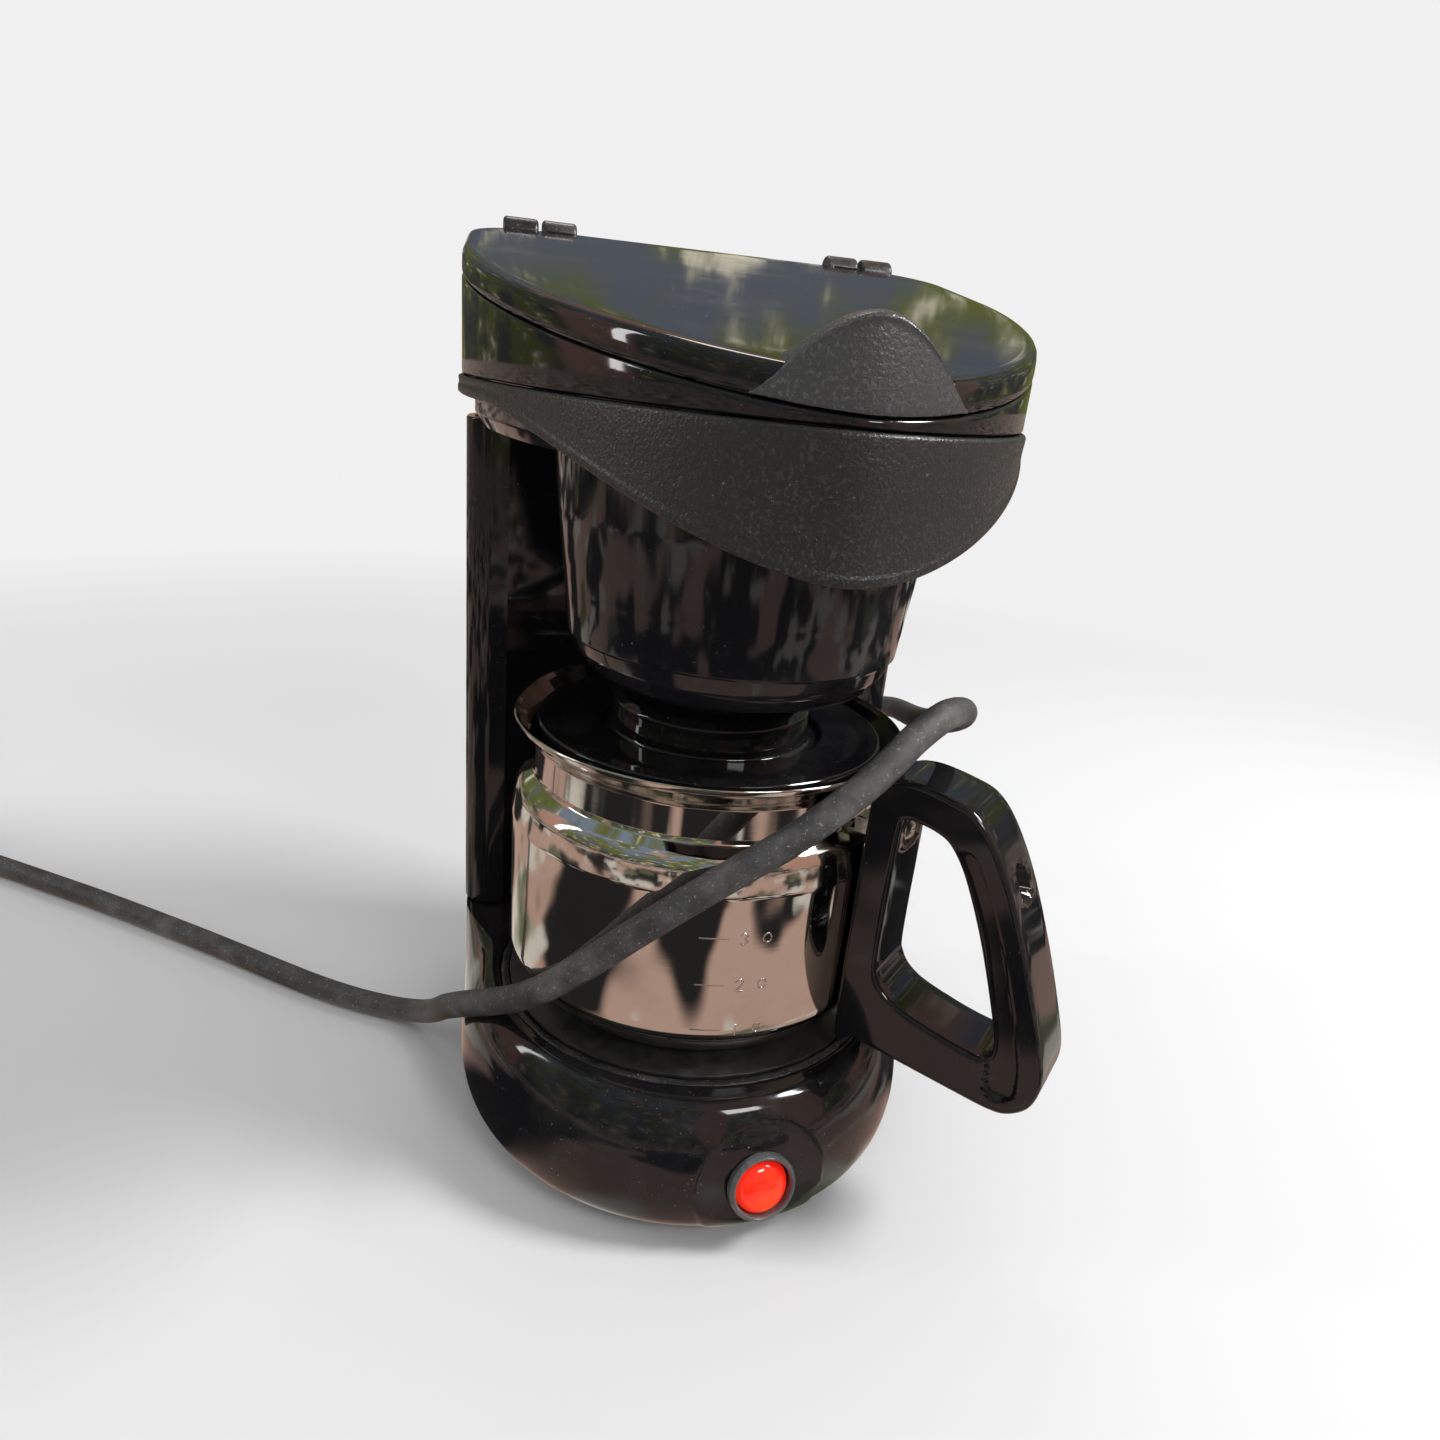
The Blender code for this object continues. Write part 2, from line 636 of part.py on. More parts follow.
def make_hoses():
    """Water line: tank nipple, check valve, inlet hose to the heater, riser hose to the head."""
    nipple = TANK_FLOOR - 5
    valve = ((0, nipple - GAP), (5.4, nipple - GAP), (5.4, nipple - 6.2), (4.4, nipple - 7.4), (0, nipple - 7.4))
    add("check_valve", turned(valve, (-STUB_X, VALVE_Y), 20), "silicone")
    top = nipple - 7.4 - GAP
    inlet = ((-STUB_X, VALVE_Y, top), (-STUB_X, VALVE_Y, top - 2.5), (-STUB_X, VALVE_Y - 1, top - 5),
             (-STUB_X, VALVE_Y - 4, STUB_Z + 1.6), (-STUB_X, VALVE_Y - 8.4, STUB_Z), (-STUB_X, 42 + GAP, STUB_Z))
    tube(inlet, HOSE_RADIUS, "inlet_hose", "silicone")
    x = RISER_X
    y = RISER_Y
    riser = ((STUB_X, 42 + GAP, STUB_Z), (STUB_X, 46, STUB_Z), (27, 51, STUB_Z), (34, y, STUB_Z),
             (44, y + 0.4, STUB_Z), (52, y, STUB_Z), (57.4, y, STUB_Z + 2), (60.2, y, STUB_Z + 6), (x, y, STUB_Z + 11),
             (x, y, 80), (x, y, 120), (x, y, 160), (x, y, 208), (x - 0.8, y + 0.2, 216), (x - 4, y + 1, 222.6),
             (x - 11, y + 2.6, 226.6), (44, y + 5, 228.4), (22, y + 8, 228.8), (9, y + 8, 228.8),
             (3, y + 6, 228.8), (0, y, 228.8), (0, CHANNEL_Y + 3, 228.8))
    tube(riser, HOSE_RADIUS, "riser_hose", "silicone")


def make_switch():
    """Round lit rocker switch: bezel, body, red rocker on its own axis, and the lamp inside."""
    bezel = ((BEZEL_BORE, BEZEL_PROUD - 0.5), (BEZEL_BORE + 0.7, BEZEL_PROUD), (BEZEL_RADIUS - 1.2, BEZEL_PROUD - 0.2),
             (BEZEL_RADIUS - 0.2, BEZEL_PROUD - 1.2), (BEZEL_RADIUS, -1 + GAP), (BEZEL_BORE, -1 + GAP))
    add("switch_bezel", at_switch(turned(bezel, segments=32)), "switch_grey")
    mesh = turned(((6.9, -1.0 - GAP), (BARREL_RADIUS, -1.0 - GAP), (BARREL_RADIUS, -22), (0, -22), (0, -9.5),
                   (6.9, -9.5)), segments=24)
    add("switch_body", at_switch(mesh), "switch_grey")
    lens = [(0.0, 2.9)]
    lens += [(ROCKER_RADIUS * math.sin(a), -0.6 + 3.5 * math.cos(a)) for a in np.linspace(0.25, math.pi / 2, 5)]
    lens += [(ROCKER_RADIUS - 0.3, -3.4), (0.0, -3.4)]
    pivot = empty("rocker_axis", (0, 0, 0))
    pivot.matrix_local = switch_frame() @ Matrix.Rotation(math.radians(-ROCKER_TILT), 4, "X")
    add("switch_rocker", turned(lens, segments=24), "lens_red", pivot)
    add("indicator_lamp", at_switch(rod(1.4, (-3.4, 0, -6.6), (3.4, 0, -6.6), 12)), "glass")


# ---------------------------------------------------------------- tower and head

def make_tower():
    """Hollow tower between base and head, with a hole for the cord's strain relief."""
    low = BASE_HEIGHT + GAP
    rings = [level(tower_outline(0), low), level(tower_outline(0), TOWER_TOP),
             level(tower_outline(WALL), TOWER_TOP), level(tower_outline(WALL), low)]
    mesh = loft(rings, closed=True)
    mesh = boolean(mesh, rod(RELIEF_RADIUS - 0.8 + GAP, (EXIT_X, BACK_Y - 6, EXIT_Z), (EXIT_X, BACK_Y + 6, EXIT_Z), 24))
    return add("tower_housing", mesh, "gloss_black")


def make_tank():
    """Water tank inside the tower, open at the top, with a nipple under its floor."""
    inset = WALL + GAP + 0.2
    low = TANK_FLOOR - 2
    high = TOWER_TOP - 1
    outer = loft([level(tower_outline(inset + 1.5, TANK_HALF_WIDTH + inset), low + 3),
                  level(tower_outline(inset, TANK_HALF_WIDTH + inset), low + 5),
                  level(tower_outline(inset, TANK_HALF_WIDTH + inset), high)])
    outer = boolean(outer, box((34, 16, 40), (EXIT_X + 2, BACK_Y - 5, EXIT_Z - 4)))
    inner = loft([level(tower_outline(inset + TANK_WALL + 1.5, TANK_HALF_WIDTH + inset), low + 5),
                  level(tower_outline(inset + TANK_WALL, TANK_HALF_WIDTH + inset), low + 7),
                  level(tower_outline(inset + TANK_WALL, TANK_HALF_WIDTH + inset), high + 4)])
    inner = boolean(inner, box((34 + 2 * TANK_WALL, 16 + 2 * TANK_WALL, 40 + 2 * TANK_WALL),
                               (EXIT_X + 2, BACK_Y - 5, EXIT_Z - 4)))
    mesh = boolean(outer, inner)
    mesh = boolean(mesh, rod(4.6, (-STUB_X, VALVE_Y, TANK_FLOOR - 5), (-STUB_X, VALVE_Y, TANK_FLOOR + 2), 20), "UNION")
    mesh = boolean(mesh, rod(2.6, (-STUB_X, VALVE_Y, TANK_FLOOR - 8), (-STUB_X, VALVE_Y, TANK_FLOOR + 12), 16))
    return add("water_tank", mesh, "tank_plastic")


def knuckle_span(side, part):
    """The stretch of one knuckle along the hinge: the outer one is the head's, the inner one the lid's."""
    half = KNUCKLE_GAP / 2
    if part == "head":
        low, high = HINGE_X + half, HINGE_X + half + KNUCKLE_LENGTH
    else:
        low, high = HINGE_X - half - KNUCKLE_LENGTH, HINGE_X - half
    return (low, high) if side > 0 else (-high, -low)


def hinge_rod(radius, span):
    """A cylinder on the hinge axis along a stretch."""
    return rod(radius, (span[0], HINGE_Y, HINGE_Z), (span[1], HINGE_Y, HINGE_Z), 24)


def make_head():
    """Head housing: gloss ring, floor with the funnel's and the tank's openings, and its hinge knuckles."""
    top = seam(-GAP / 2)
    outer = loft([level(head_outline(RING_STEP + 2), HEAD_FLOOR), level(head_outline(RING_STEP), HEAD_FLOOR + 3),
                  level(head_outline(RING_STEP), SEAM_LOW - 0.4), level(head_outline(0.0), SEAM_LOW),
                  level(head_outline(0.0), top)])
    inner = loft([level(head_outline(RING_STEP + WALL + 2), HEAD_FLOOR + HEAD_FLOOR_THICK),
                  level(head_outline(RING_STEP + WALL), HEAD_FLOOR + HEAD_FLOOR_THICK + 3),
                  level(head_outline(RING_STEP + WALL), SEAM_LOW - 0.5),
                  level(head_outline(WALL), SEAM_LOW + 3), level(head_outline(WALL), seam(6))])
    mesh = boolean(outer, inner)
    mesh = boolean(mesh, rod(funnel_hole(), (0, FUNNEL_Y, HEAD_FLOOR - 4), (0, FUNNEL_Y, HEAD_FLOOR + 6), 56))
    opening = prism(tower_outline(WALL + GAP + 2, TANK_HALF_WIDTH + WALL + 2), HEAD_FLOOR - 4, HEAD_FLOOR + 6)
    mesh = boolean(mesh, opening)
    riser = rod(HOSE_RADIUS + 0.8, (RISER_X, RISER_Y, HEAD_FLOOR - 4), (RISER_X, RISER_Y, HEAD_FLOOR + 6), 20)
    mesh = boolean(mesh, riser)
    for side in (-1, 1):
        span = knuckle_span(side, "head")
        middle = (span[0] + span[1]) / 2
        mesh = boolean(mesh, hinge_rod(KNUCKLE_RADIUS, span), "UNION")
        post = box((KNUCKLE_LENGTH - 1, 3.4, 9), (middle, HINGE_Y + 0.1, HINGE_Z - 5.4))
        mesh = boolean(mesh, post, "UNION")
    for side in (-1, 1):
        mesh = boolean(mesh, hinge_rod(PIN_RADIUS + PIN_CLEAR, (side * HINGE_X - 16, side * HINGE_X + 16)))
        lid_span = knuckle_span(side, "lid")
        clear = (lid_span[0] - KNUCKLE_GAP / 2, lid_span[1] + KNUCKLE_GAP / 2)
        mesh = boolean(mesh, hinge_rod(KNUCKLE_RADIUS + 0.6, clear))
    return add("head_housing", mesh, "gloss_black")


def make_band():
    """Textured band round the head: deep at the nose, tapering to the back corners."""
    path = [point for point in head_outline(0) if point[1] < BACK_Y - HEAD_CORNER * 0.5]
    half = [point for point in path if point[0] >= -1e-6]
    outline = [(-x, y) for x, y in reversed(half) if x > 1e-6] + half
    high = SEAM_LOW - GAP - 0.2
    sections = []
    for i, (x, y) in enumerate(outline):
        before = Vector(outline[max(i - 1, 0)])
        after = Vector(outline[min(i + 1, len(outline) - 1)])
        along = (after - before).normalized()
        out = Vector((along.y, -along.x))
        low = SEAM_LOW - band_depth(y)
        outer = Vector((x, y)) + out * BAND_PROUD
        inner = Vector((x, y)) - out * (BAND_THICK - BAND_PROUD)
        tuck = Vector((x, y)) + out * (BAND_PROUD - 1.4)
        sections.append([(outer.x, outer.y, high - 1.2), (outer.x, outer.y, low + 1.4), (tuck.x, tuck.y, low),
                         (inner.x, inner.y, low), (inner.x, inner.y, high), (tuck.x, tuck.y, high)])
    return add("textured_band", loft(sections), "grained_black")


def make_funnel():
    """Basket housing that hangs under the head: a tapered cup with a nozzle opening."""
    wall = FUNNEL_WALL
    top = HEAD_FLOOR + HEAD_FLOOR_THICK + GAP
    step = FUNNEL_STEP_Z
    outer = [(FUNNEL_TOP_RADIUS + 3.4, top + 1.8), (FUNNEL_TOP_RADIUS + 3.4, top), (FUNNEL_TOP_RADIUS, top),
             (FUNNEL_TOP_RADIUS - 1.6, 190), (FUNNEL_STEP_RADIUS + 1.9, step + 12), (FUNNEL_STEP_RADIUS + 0.7, step),
             (FUNNEL_STEP_RADIUS, step - 0.6), (FUNNEL_STEP_RADIUS - 1.6, step - 4.4),
             (FUNNEL_BOTTOM_RADIUS + 1.9, FUNNEL_BOTTOM + 1.6), (FUNNEL_BOTTOM_RADIUS, FUNNEL_BOTTOM),
             (FUNNEL_NOZZLE_RADIUS, FUNNEL_BOTTOM)]
    inner = [(FUNNEL_NOZZLE_RADIUS, FUNNEL_BOTTOM + wall), (FUNNEL_BOTTOM_RADIUS - 0.6, FUNNEL_BOTTOM + wall),
             (FUNNEL_STEP_RADIUS - 3.6, step - 3), (FUNNEL_STEP_RADIUS - 1.7, step),
             (FUNNEL_STEP_RADIUS - 0.5, step + 12), (FUNNEL_TOP_RADIUS - wall - 1.6, 190),
             (FUNNEL_TOP_RADIUS - wall, top + 1.8)]
    return add("basket_funnel", turned(outer + inner, (0, FUNNEL_Y), 40), "gloss_black")


def basket_radius(height):
    """Outer radius of the filter basket at a height, a clearance inside the funnel."""
    share = (height - FUNNEL_STEP_Z) / (HEAD_FLOOR - FUNNEL_STEP_Z)
    inner = FUNNEL_STEP_RADIUS - 2.4 + share * (FUNNEL_TOP_RADIUS - FUNNEL_STEP_RADIUS)
    return inner - BASKET_CLEAR


def make_basket():
    """Removable filter basket with a rim, a drain hub and the cage over its valve."""
    wall = BASKET_WALL
    low = BASKET_FLOOR
    radius = basket_radius(low + 6) - 2.4
    rim = basket_radius(BASKET_TOP)
    hub = VALVE_RADIUS + 3.2
    outer = [(rim + 0.6, BASKET_TOP), (rim + 0.6, BASKET_TOP - 1.6), (rim, BASKET_TOP - 1.6),
             (basket_radius(low + 8), low + 8), (radius, low), (hub, low), (hub, low - 3.2),
             (VALVE_STEM + 0.5, low - 3.2)]
    inner = [(VALVE_STEM + 0.5, low - 1.4), (hub - 1.5, low - 1.4), (hub - 1.5, low + wall),
             (radius - wall, low + wall), (basket_radius(low + 8) - wall, low + 8 + wall * 0.4),
             (rim - wall, BASKET_TOP)]
    mesh = turned(outer + inner, (0, FUNNEL_Y), 36)
    bridge = low + 14.0
    mesh = boolean(mesh, box((4, 2 * hub, 1.6), (0, FUNNEL_Y, bridge)), "UNION")
    for y in (FUNNEL_Y - hub + 0.8, FUNNEL_Y + hub - 0.8):
        mesh = boolean(mesh, box((4, 1.6, bridge - low), (0, y, (bridge + low) / 2)), "UNION")
    return add("filter_basket", mesh, "basket_plastic")


def make_valve():
    """Drip stop: a plunger that the carafe's lid lifts, its seal and its spring."""
    seat = BASKET_FLOOR - 1.4 + GAP
    tip = CARAFE_LID_Z + CARAFE_LID_RISE + 0.6
    plunger = ((0, seat + 3.4), (3.4, seat + 3.4), (3.4, seat + 2.6), (VALVE_RADIUS, seat + 2.6),
               (VALVE_RADIUS, seat + 1.1), (VALVE_STEM, seat + 1.1), (VALVE_STEM, tip + 3.2),
               (7.6, tip + 2.6), (8.2, tip + 1.2), (5.0, tip), (0, tip))
    add("drip_stop_plunger", turned(plunger, (0, FUNNEL_Y), 32), "basket_plastic")
    inner = VALVE_STEM + 0.3
    seal = ((inner, seat + 0.8), (VALVE_RADIUS - 0.2, seat + 0.8), (VALVE_RADIUS - 0.2, seat), (inner, seat))
    add("drip_stop_seal", turned(seal, (0, FUNNEL_Y), 32), "silicone")
    low = seat + 2.6 + SPRING_WIRE + 0.2
    high = BASKET_FLOOR + 14.0 - 0.8 - SPRING_WIRE - 0.3
    per_turn = 8
    count = SPRING_TURNS * per_turn
    points = []
    for i in range(count + 1):
        turn = 2 * math.pi * i / per_turn
        height = low + (high - low) * i / count
        points.append((SPRING_RADIUS * math.cos(turn), FUNNEL_Y + SPRING_RADIUS * math.sin(turn), height))
    tube(points, SPRING_WIRE, "drip_stop_spring", "steel", resolution=1)


# ---------------------------------------------------------------- lid

def lid_outline(inset=0.0):
    """Lid seen from above: the head's outline, cut short before the hinge."""
    return head_outline(inset, back_inset=BACK_Y - LID_BACK_Y + inset)


def lid_top(y):
    """Height of the lid's upper face at a place: it thickens a little towards the back."""
    share = (y - HEAD_FRONT_Y) / (BACK_Y - HEAD_FRONT_Y)
    return seam(LID_WALL_FRONT + LID_RISE_BACK * share)(y)


def make_lid():
    """Sloped lid with a hollow underside, a half-dome grip at its nose and two hinge knuckles."""
    hinge = empty("lid_hinge_axis", (0, HINGE_Y, HINGE_Z))
    low = seam(GAP / 2)
    outer = loft([level(lid_outline(0.4), low), level(lid_outline(0.0), seam(1.2)),
                  level(lid_outline(0.2), lambda y: lid_top(y) - 1.4), level(lid_outline(1.6), lid_top)])
    grip = make_grip_shape()
    outer = boolean(outer, grip, "UNION")
    inner = loft([level(lid_outline(WALL + 0.6), seam(-3)),
                  level(lid_outline(WALL + 0.6), lambda y: lid_top(y) - LID_SKIN)])
    mesh = boolean(outer, inner)
    for side in (-1, 1):
        span = knuckle_span(side, "lid")
        middle = (span[0] + span[1]) / 2
        mesh = boolean(mesh, hinge_rod(KNUCKLE_RADIUS, span), "UNION")
        arm = box((KNUCKLE_LENGTH - 1, 8, 4.2), (middle, LID_BACK_Y - 1.6, HINGE_Z - 1.2))
        mesh = boolean(mesh, arm, "UNION")
    for side in (-1, 1):
        mesh = boolean(mesh, hinge_rod(PIN_RADIUS + PIN_CLEAR, (side * HINGE_X - 16, side * HINGE_X + 16)))
        head_span = knuckle_span(side, "head")
        clear = (head_span[0] - KNUCKLE_GAP / 2, head_span[1] + KNUCKLE_GAP / 2)
        mesh = boolean(mesh, hinge_rod(KNUCKLE_RADIUS + 0.6, clear))
    mesh.transform(Matrix.Translation(Vector((0, -HINGE_Y, -HINGE_Z)) * MM))
    return add("lid", mesh, "gloss_black", hinge), hinge


def make_grip_shape():
    """Half-dome thumb grip: a rounded arch that leans back from the lid's front edge."""
    foot = HEAD_FRONT_Y
    base = seam(0.8)(foot)
    rows = []
    for depth, swell in ((-1.2, 0.86), (-0.8, 1.0), (6.0, 0.96), (14.0, 0.78), (21.0, 0.5)):
        ring = []
        for angle in np.linspace(0, math.pi, 15):
            x = TAB_HALF_WIDTH * swell * math.cos(angle)
            z = base + TAB_HEIGHT * swell * math.sin(angle) + SEAM_SLOPE * (depth + 1.2)
            ring.append((x, foot + depth, z))
        rows.append(ring)
    return loft(rows)


def make_hinge_pins():
    """A steel pin through each pair of knuckles."""
    for side, name in ((-1, "hinge_pin_left"), (1, "hinge_pin_right")):
        reach = KNUCKLE_LENGTH + KNUCKLE_GAP / 2
        span = (side * HINGE_X - reach, side * HINGE_X + reach)
        add(name, hinge_rod(PIN_RADIUS, span), "steel")


def make_channel(hinge):
    """Water channel and spray head under the lid, over the basket."""
    top = seam(LID_WALL_FRONT - LID_SKIN - 0.6)
    low_back = 235.0
    shape = loft([[(-6, CHANNEL_Y, low_back), (6, CHANNEL_Y, low_back), (6, CHANNEL_Y, top(CHANNEL_Y)),
                   (-6, CHANNEL_Y, top(CHANNEL_Y))],
                  [(-6, FUNNEL_Y + 12, 228.6), (6, FUNNEL_Y + 12, 228.6), (6, FUNNEL_Y + 12, top(FUNNEL_Y + 12)),
                   (-6, FUNNEL_Y + 12, top(FUNNEL_Y + 12))]])
    high = top(FUNNEL_Y - 17)
    rose = turned(((0, high), (16, high), (17, high - 1.2), (17, 225.6), (15, 224.0), (0, 224.0)), (0, FUNNEL_Y), 36)
    mesh = boolean(rose, shape, "UNION")
    mesh.transform(Matrix.Translation(Vector((0, -HINGE_Y, -HINGE_Z)) * MM))
    add("spray_head", mesh, "basket_plastic", hinge)


# ---------------------------------------------------------------- carafe

def make_carafe_body():
    """Steel vessel: foot, round belly, shoulder, short neck and flared rim."""
    wall = CARAFE_WALL
    belly = CARAFE_BOTTOM + 12
    shoulder = [(CARAFE_NECK_RADIUS + (CARAFE_RADIUS - CARAFE_NECK_RADIUS) * math.cos(a),
                 CARAFE_SHOULDER_Z + (CARAFE_NECK_Z - CARAFE_SHOULDER_Z) * math.sin(a))
                for a in np.linspace(1.4, 0.0, 5)]
    foot = [(CARAFE_RADIUS - (CARAFE_RADIUS - CARAFE_FOOT_RADIUS) * (1 - math.cos(a)),
             belly - (belly - CARAFE_BOTTOM) * math.sin(a)) for a in np.linspace(0, math.pi / 2, 5)]
    outer = [(CARAFE_RIM_RADIUS, CARAFE_RIM_Z), (CARAFE_RIM_RADIUS + 0.3, CARAFE_RIM_Z - 0.7),
             (CARAFE_RIM_RADIUS - 1.2, CARAFE_RIM_Z - 2.4), (CARAFE_NECK_RADIUS + 0.8, CARAFE_RIM_Z - 5.4),
             (CARAFE_NECK_RADIUS, CARAFE_RIM_Z - 9), (CARAFE_NECK_RADIUS, CARAFE_NECK_Z + 1), *shoulder, *foot,
             (0, CARAFE_BOTTOM)]
    inner = [(0, CARAFE_BOTTOM + wall)]
    inner += [(radius - wall, height + (wall if height < CARAFE_BOTTOM + 0.01 else 0.3))
              for radius, height in reversed(foot)]
    inner += [(radius - wall, height) for radius, height in reversed(shoulder)]
    inner += [(CARAFE_NECK_RADIUS - wall, CARAFE_NECK_Z + 1), (CARAFE_NECK_RADIUS - wall, CARAFE_RIM_Z - 9),
              (CARAFE_NECK_RADIUS - wall + 0.8, CARAFE_RIM_Z - 5.2), (CARAFE_RIM_RADIUS - wall - 1.2, CARAFE_RIM_Z - 2)]
    mesh = turned(outer + inner, segments=44)
    spout = math.radians(SPOUT_ANGLE)
    for vertex in mesh.vertices:
        near = math.cos(math.atan2(vertex.co.y, vertex.co.x) - spout)
        lift = max(vertex.co.z / MM - (CARAFE_RIM_Z - 6), 0) / 6
        pull = max(near - 0.9, 0) / 0.1 * lift * 2.6 * MM
        vertex.co.x += math.cos(spout) * pull
        vertex.co.y += math.sin(spout) * pull
    return add("carafe_body", mesh, "steel")


def make_carafe_lid():
    """Black carafe lid: skirt, flat flange, ring-shaped hollow and raised hub."""
    z = CARAFE_LID_Z
    rise = z + CARAFE_LID_RISE
    skirt = CARAFE_NECK_RADIUS - CARAFE_WALL - 0.5
    profile = ((0, rise), (5.4, rise), (6.6, rise - 1.4), (12, rise - 1.8), (13.4, rise - 0.2), (18.6, rise - 0.2),
               (20.4, rise - 1.8), (20.8, z - 1.4), (35.6, z - 2.6), (37.4, z + 0.4), (CARAFE_LID_RADIUS - 1, z + 0.8),
               (CARAFE_LID_RADIUS, z), (skirt, z - 4.6), (skirt, z - 15), (skirt - 1.8, z - 15), (skirt - 1.8, z - 5),
               (17, z - 5), (17, rise - 5), (0, rise - 5))
    return add("carafe_lid", turned(profile, segments=40), "basket_plastic")


def handle_frame():
    """Place of the handle: local X runs outwards from the carafe axis, local Y across the handle."""
    return Matrix.Rotation(math.radians(HANDLE_ANGLE), 4, "Z")


def across_handle(outline, low, high):
    """A prism across the handle on an outline drawn in its upright plane."""
    return loft([[(s, low, z) for s, z in outline], [(s, high, z) for s, z in outline]])


def rounded(points, steps=2):
    """A closed outline with its corners cut twice, which rounds it."""
    for _ in range(steps):
        cut = []
        for i, point in enumerate(points):
            a = Vector(point)
            b = Vector(points[(i + 1) % len(points)])
            cut.append(tuple(a * 0.75 + b * 0.25))
            cut.append(tuple(a * 0.25 + b * 0.75))
        points = cut
    return points


def make_handle():
    """D-shaped handle with a slot in each side, a dimple in its back and a hole for its screw."""
    half = HANDLE_HALF_WIDTH
    outer = rounded(HANDLE_OUTER, 1)
    mesh = loft([[(s, -half, z) for s, z in shrink(outer, 1.2)], [(s, -half + 1.4, z) for s, z in outer],
                 [(s, half - 1.4, z) for s, z in outer], [(s, half, z) for s, z in shrink(outer, 1.2)]])
    mesh = boolean(mesh, across_handle(rounded(HANDLE_INNER, 1), -half - 4, half + 4))
    for side in (-1, 1):
        low, high = sorted((side * (half - SLOT_DEPTH), side * (half + 4)))
        mesh = boolean(mesh, across_handle(rounded(HANDLE_SLOT, 1), low, high))
    mesh = boolean(mesh, rod(CARAFE_RADIUS + GAP, (0, 0, CARAFE_BOTTOM - 5), (0, 0, CARAFE_RIM_Z - 4), 96))
    mesh = boolean(mesh, rod(CARAFE_RIM_RADIUS + 1.0, (0, 0, CARAFE_RIM_Z - 9), (0, 0, CARAFE_RIM_Z + 9), 96))
    mesh = boolean(mesh, rod(1.8, (50, 0, SCREW_Z), (80, 0, SCREW_Z), 16))
    mesh = boolean(mesh, rod(SCREW_RADIUS + 0.8, (64.6, 0, SCREW_Z), (84, 0, SCREW_Z), 24))
    centre = Vector((DIMPLE_AT[0] + 2.4, 0, DIMPLE_AT[1] + 1.2))
    dimple = rod(3.6, centre + Vector((-3.6, 0, -1.6)), centre + Vector((6, 0, 2.6)), 20)
    mesh = boolean(mesh, dimple)
    return add("carafe_handle", mesh, "gloss_black", place=handle_frame())


def shrink(outline, amount):
    """An outline moved towards its own inside by an amount."""
    points = [Vector(point) for point in outline]
    count = len(points)
    area = sum(points[i].cross(points[(i + 1) % count]) for i in range(count))
    turn = 1.0 if area > 0 else -1.0
    moved = []
    for i, point in enumerate(points):
        along = (points[(i + 1) % count] - points[i - 1]).normalized()
        moved.append(tuple(point + Vector((-along.y, along.x)) * turn * amount))
    return moved


def make_handle_screw():
    """Screw that holds the handle to a bracket on the vessel's neck."""
    start = CARAFE_NECK_RADIUS + 1.0
    shank = rod(1.5, (start, 0, SCREW_Z), (66, 0, SCREW_Z), 16)
    head = rod(SCREW_RADIUS, (64.6 + GAP, 0, SCREW_Z), (66.8, 0, SCREW_Z), 24)
    mesh = boolean(head, shank, "UNION")
    add("handle_screw", mesh, "steel", place=handle_frame())
    bracket = box((12, 14, 4.4), (CARAFE_RADIUS, 0, SCREW_Z))
    bracket = boolean(bracket, rod(CARAFE_NECK_RADIUS + 2 * GAP, (0, 0, SCREW_Z - 9), (0, 0, SCREW_Z + 9), 64))
    ring = rod(CARAFE_RADIUS, (0, 0, SCREW_Z - 9), (0, 0, SCREW_Z + 9), 64)
    bracket = boolean(bracket, ring, "INTERSECT")
    bracket = boolean(bracket, rod(1.7, (50, 0, SCREW_Z), (70, 0, SCREW_Z), 16))
    add("handle_bracket", bracket, "steel", place=handle_frame())


# ---------------------------------------------------------------- cord

def make_cord():
    """Strain relief, cord and plug with its two blades."""
    start = BACK_Y - WALL - 3
    end = start + RELIEF_LENGTH + 5
    neck = RELIEF_RADIUS - 0.8
    profile = ((0, end), (CORD_RADIUS + 0.8, end), (CORD_RADIUS + 1.0, end - 4), (RELIEF_RADIUS - 0.2, BACK_Y + 6),
               (RELIEF_RADIUS + 1.6, BACK_Y + 3), (RELIEF_RADIUS + 1.6, BACK_Y + GAP), (neck, BACK_Y + GAP),
               (neck, BACK_Y - WALL - GAP), (RELIEF_RADIUS + 0.8, BACK_Y - WALL - GAP), (RELIEF_RADIUS + 0.8, start),
               (0, start))
    mesh = turned(profile, segments=20)
    place = Matrix.Translation(Vector((EXIT_X, 0, EXIT_Z)) * MM) @ Matrix.Rotation(-math.pi / 2, 4, "X")
    add("strain_relief", mesh, "rubber", place=place)
    route = [(EXIT_X, end + 2 * GAP, EXIT_Z), *CORD_ROUTE[1:]]
    tube(smooth_route(route, CORD_STEP), CORD_RADIUS, "power_cord", "rubber", resolution=2)
    make_plug()


def plug_frame():
    """Place of the plug: local X runs on from the cord's end."""
    last = Vector(CORD_ROUTE[-1])
    before = Vector(CORD_ROUTE[-2])
    along = (last - before).normalized()
    turn = math.atan2(along.y, along.x)
    at = last + along * GAP
    return Matrix.Translation(Vector((at.x, at.y, 0)) * MM) @ Matrix.Rotation(turn, 4, "Z")


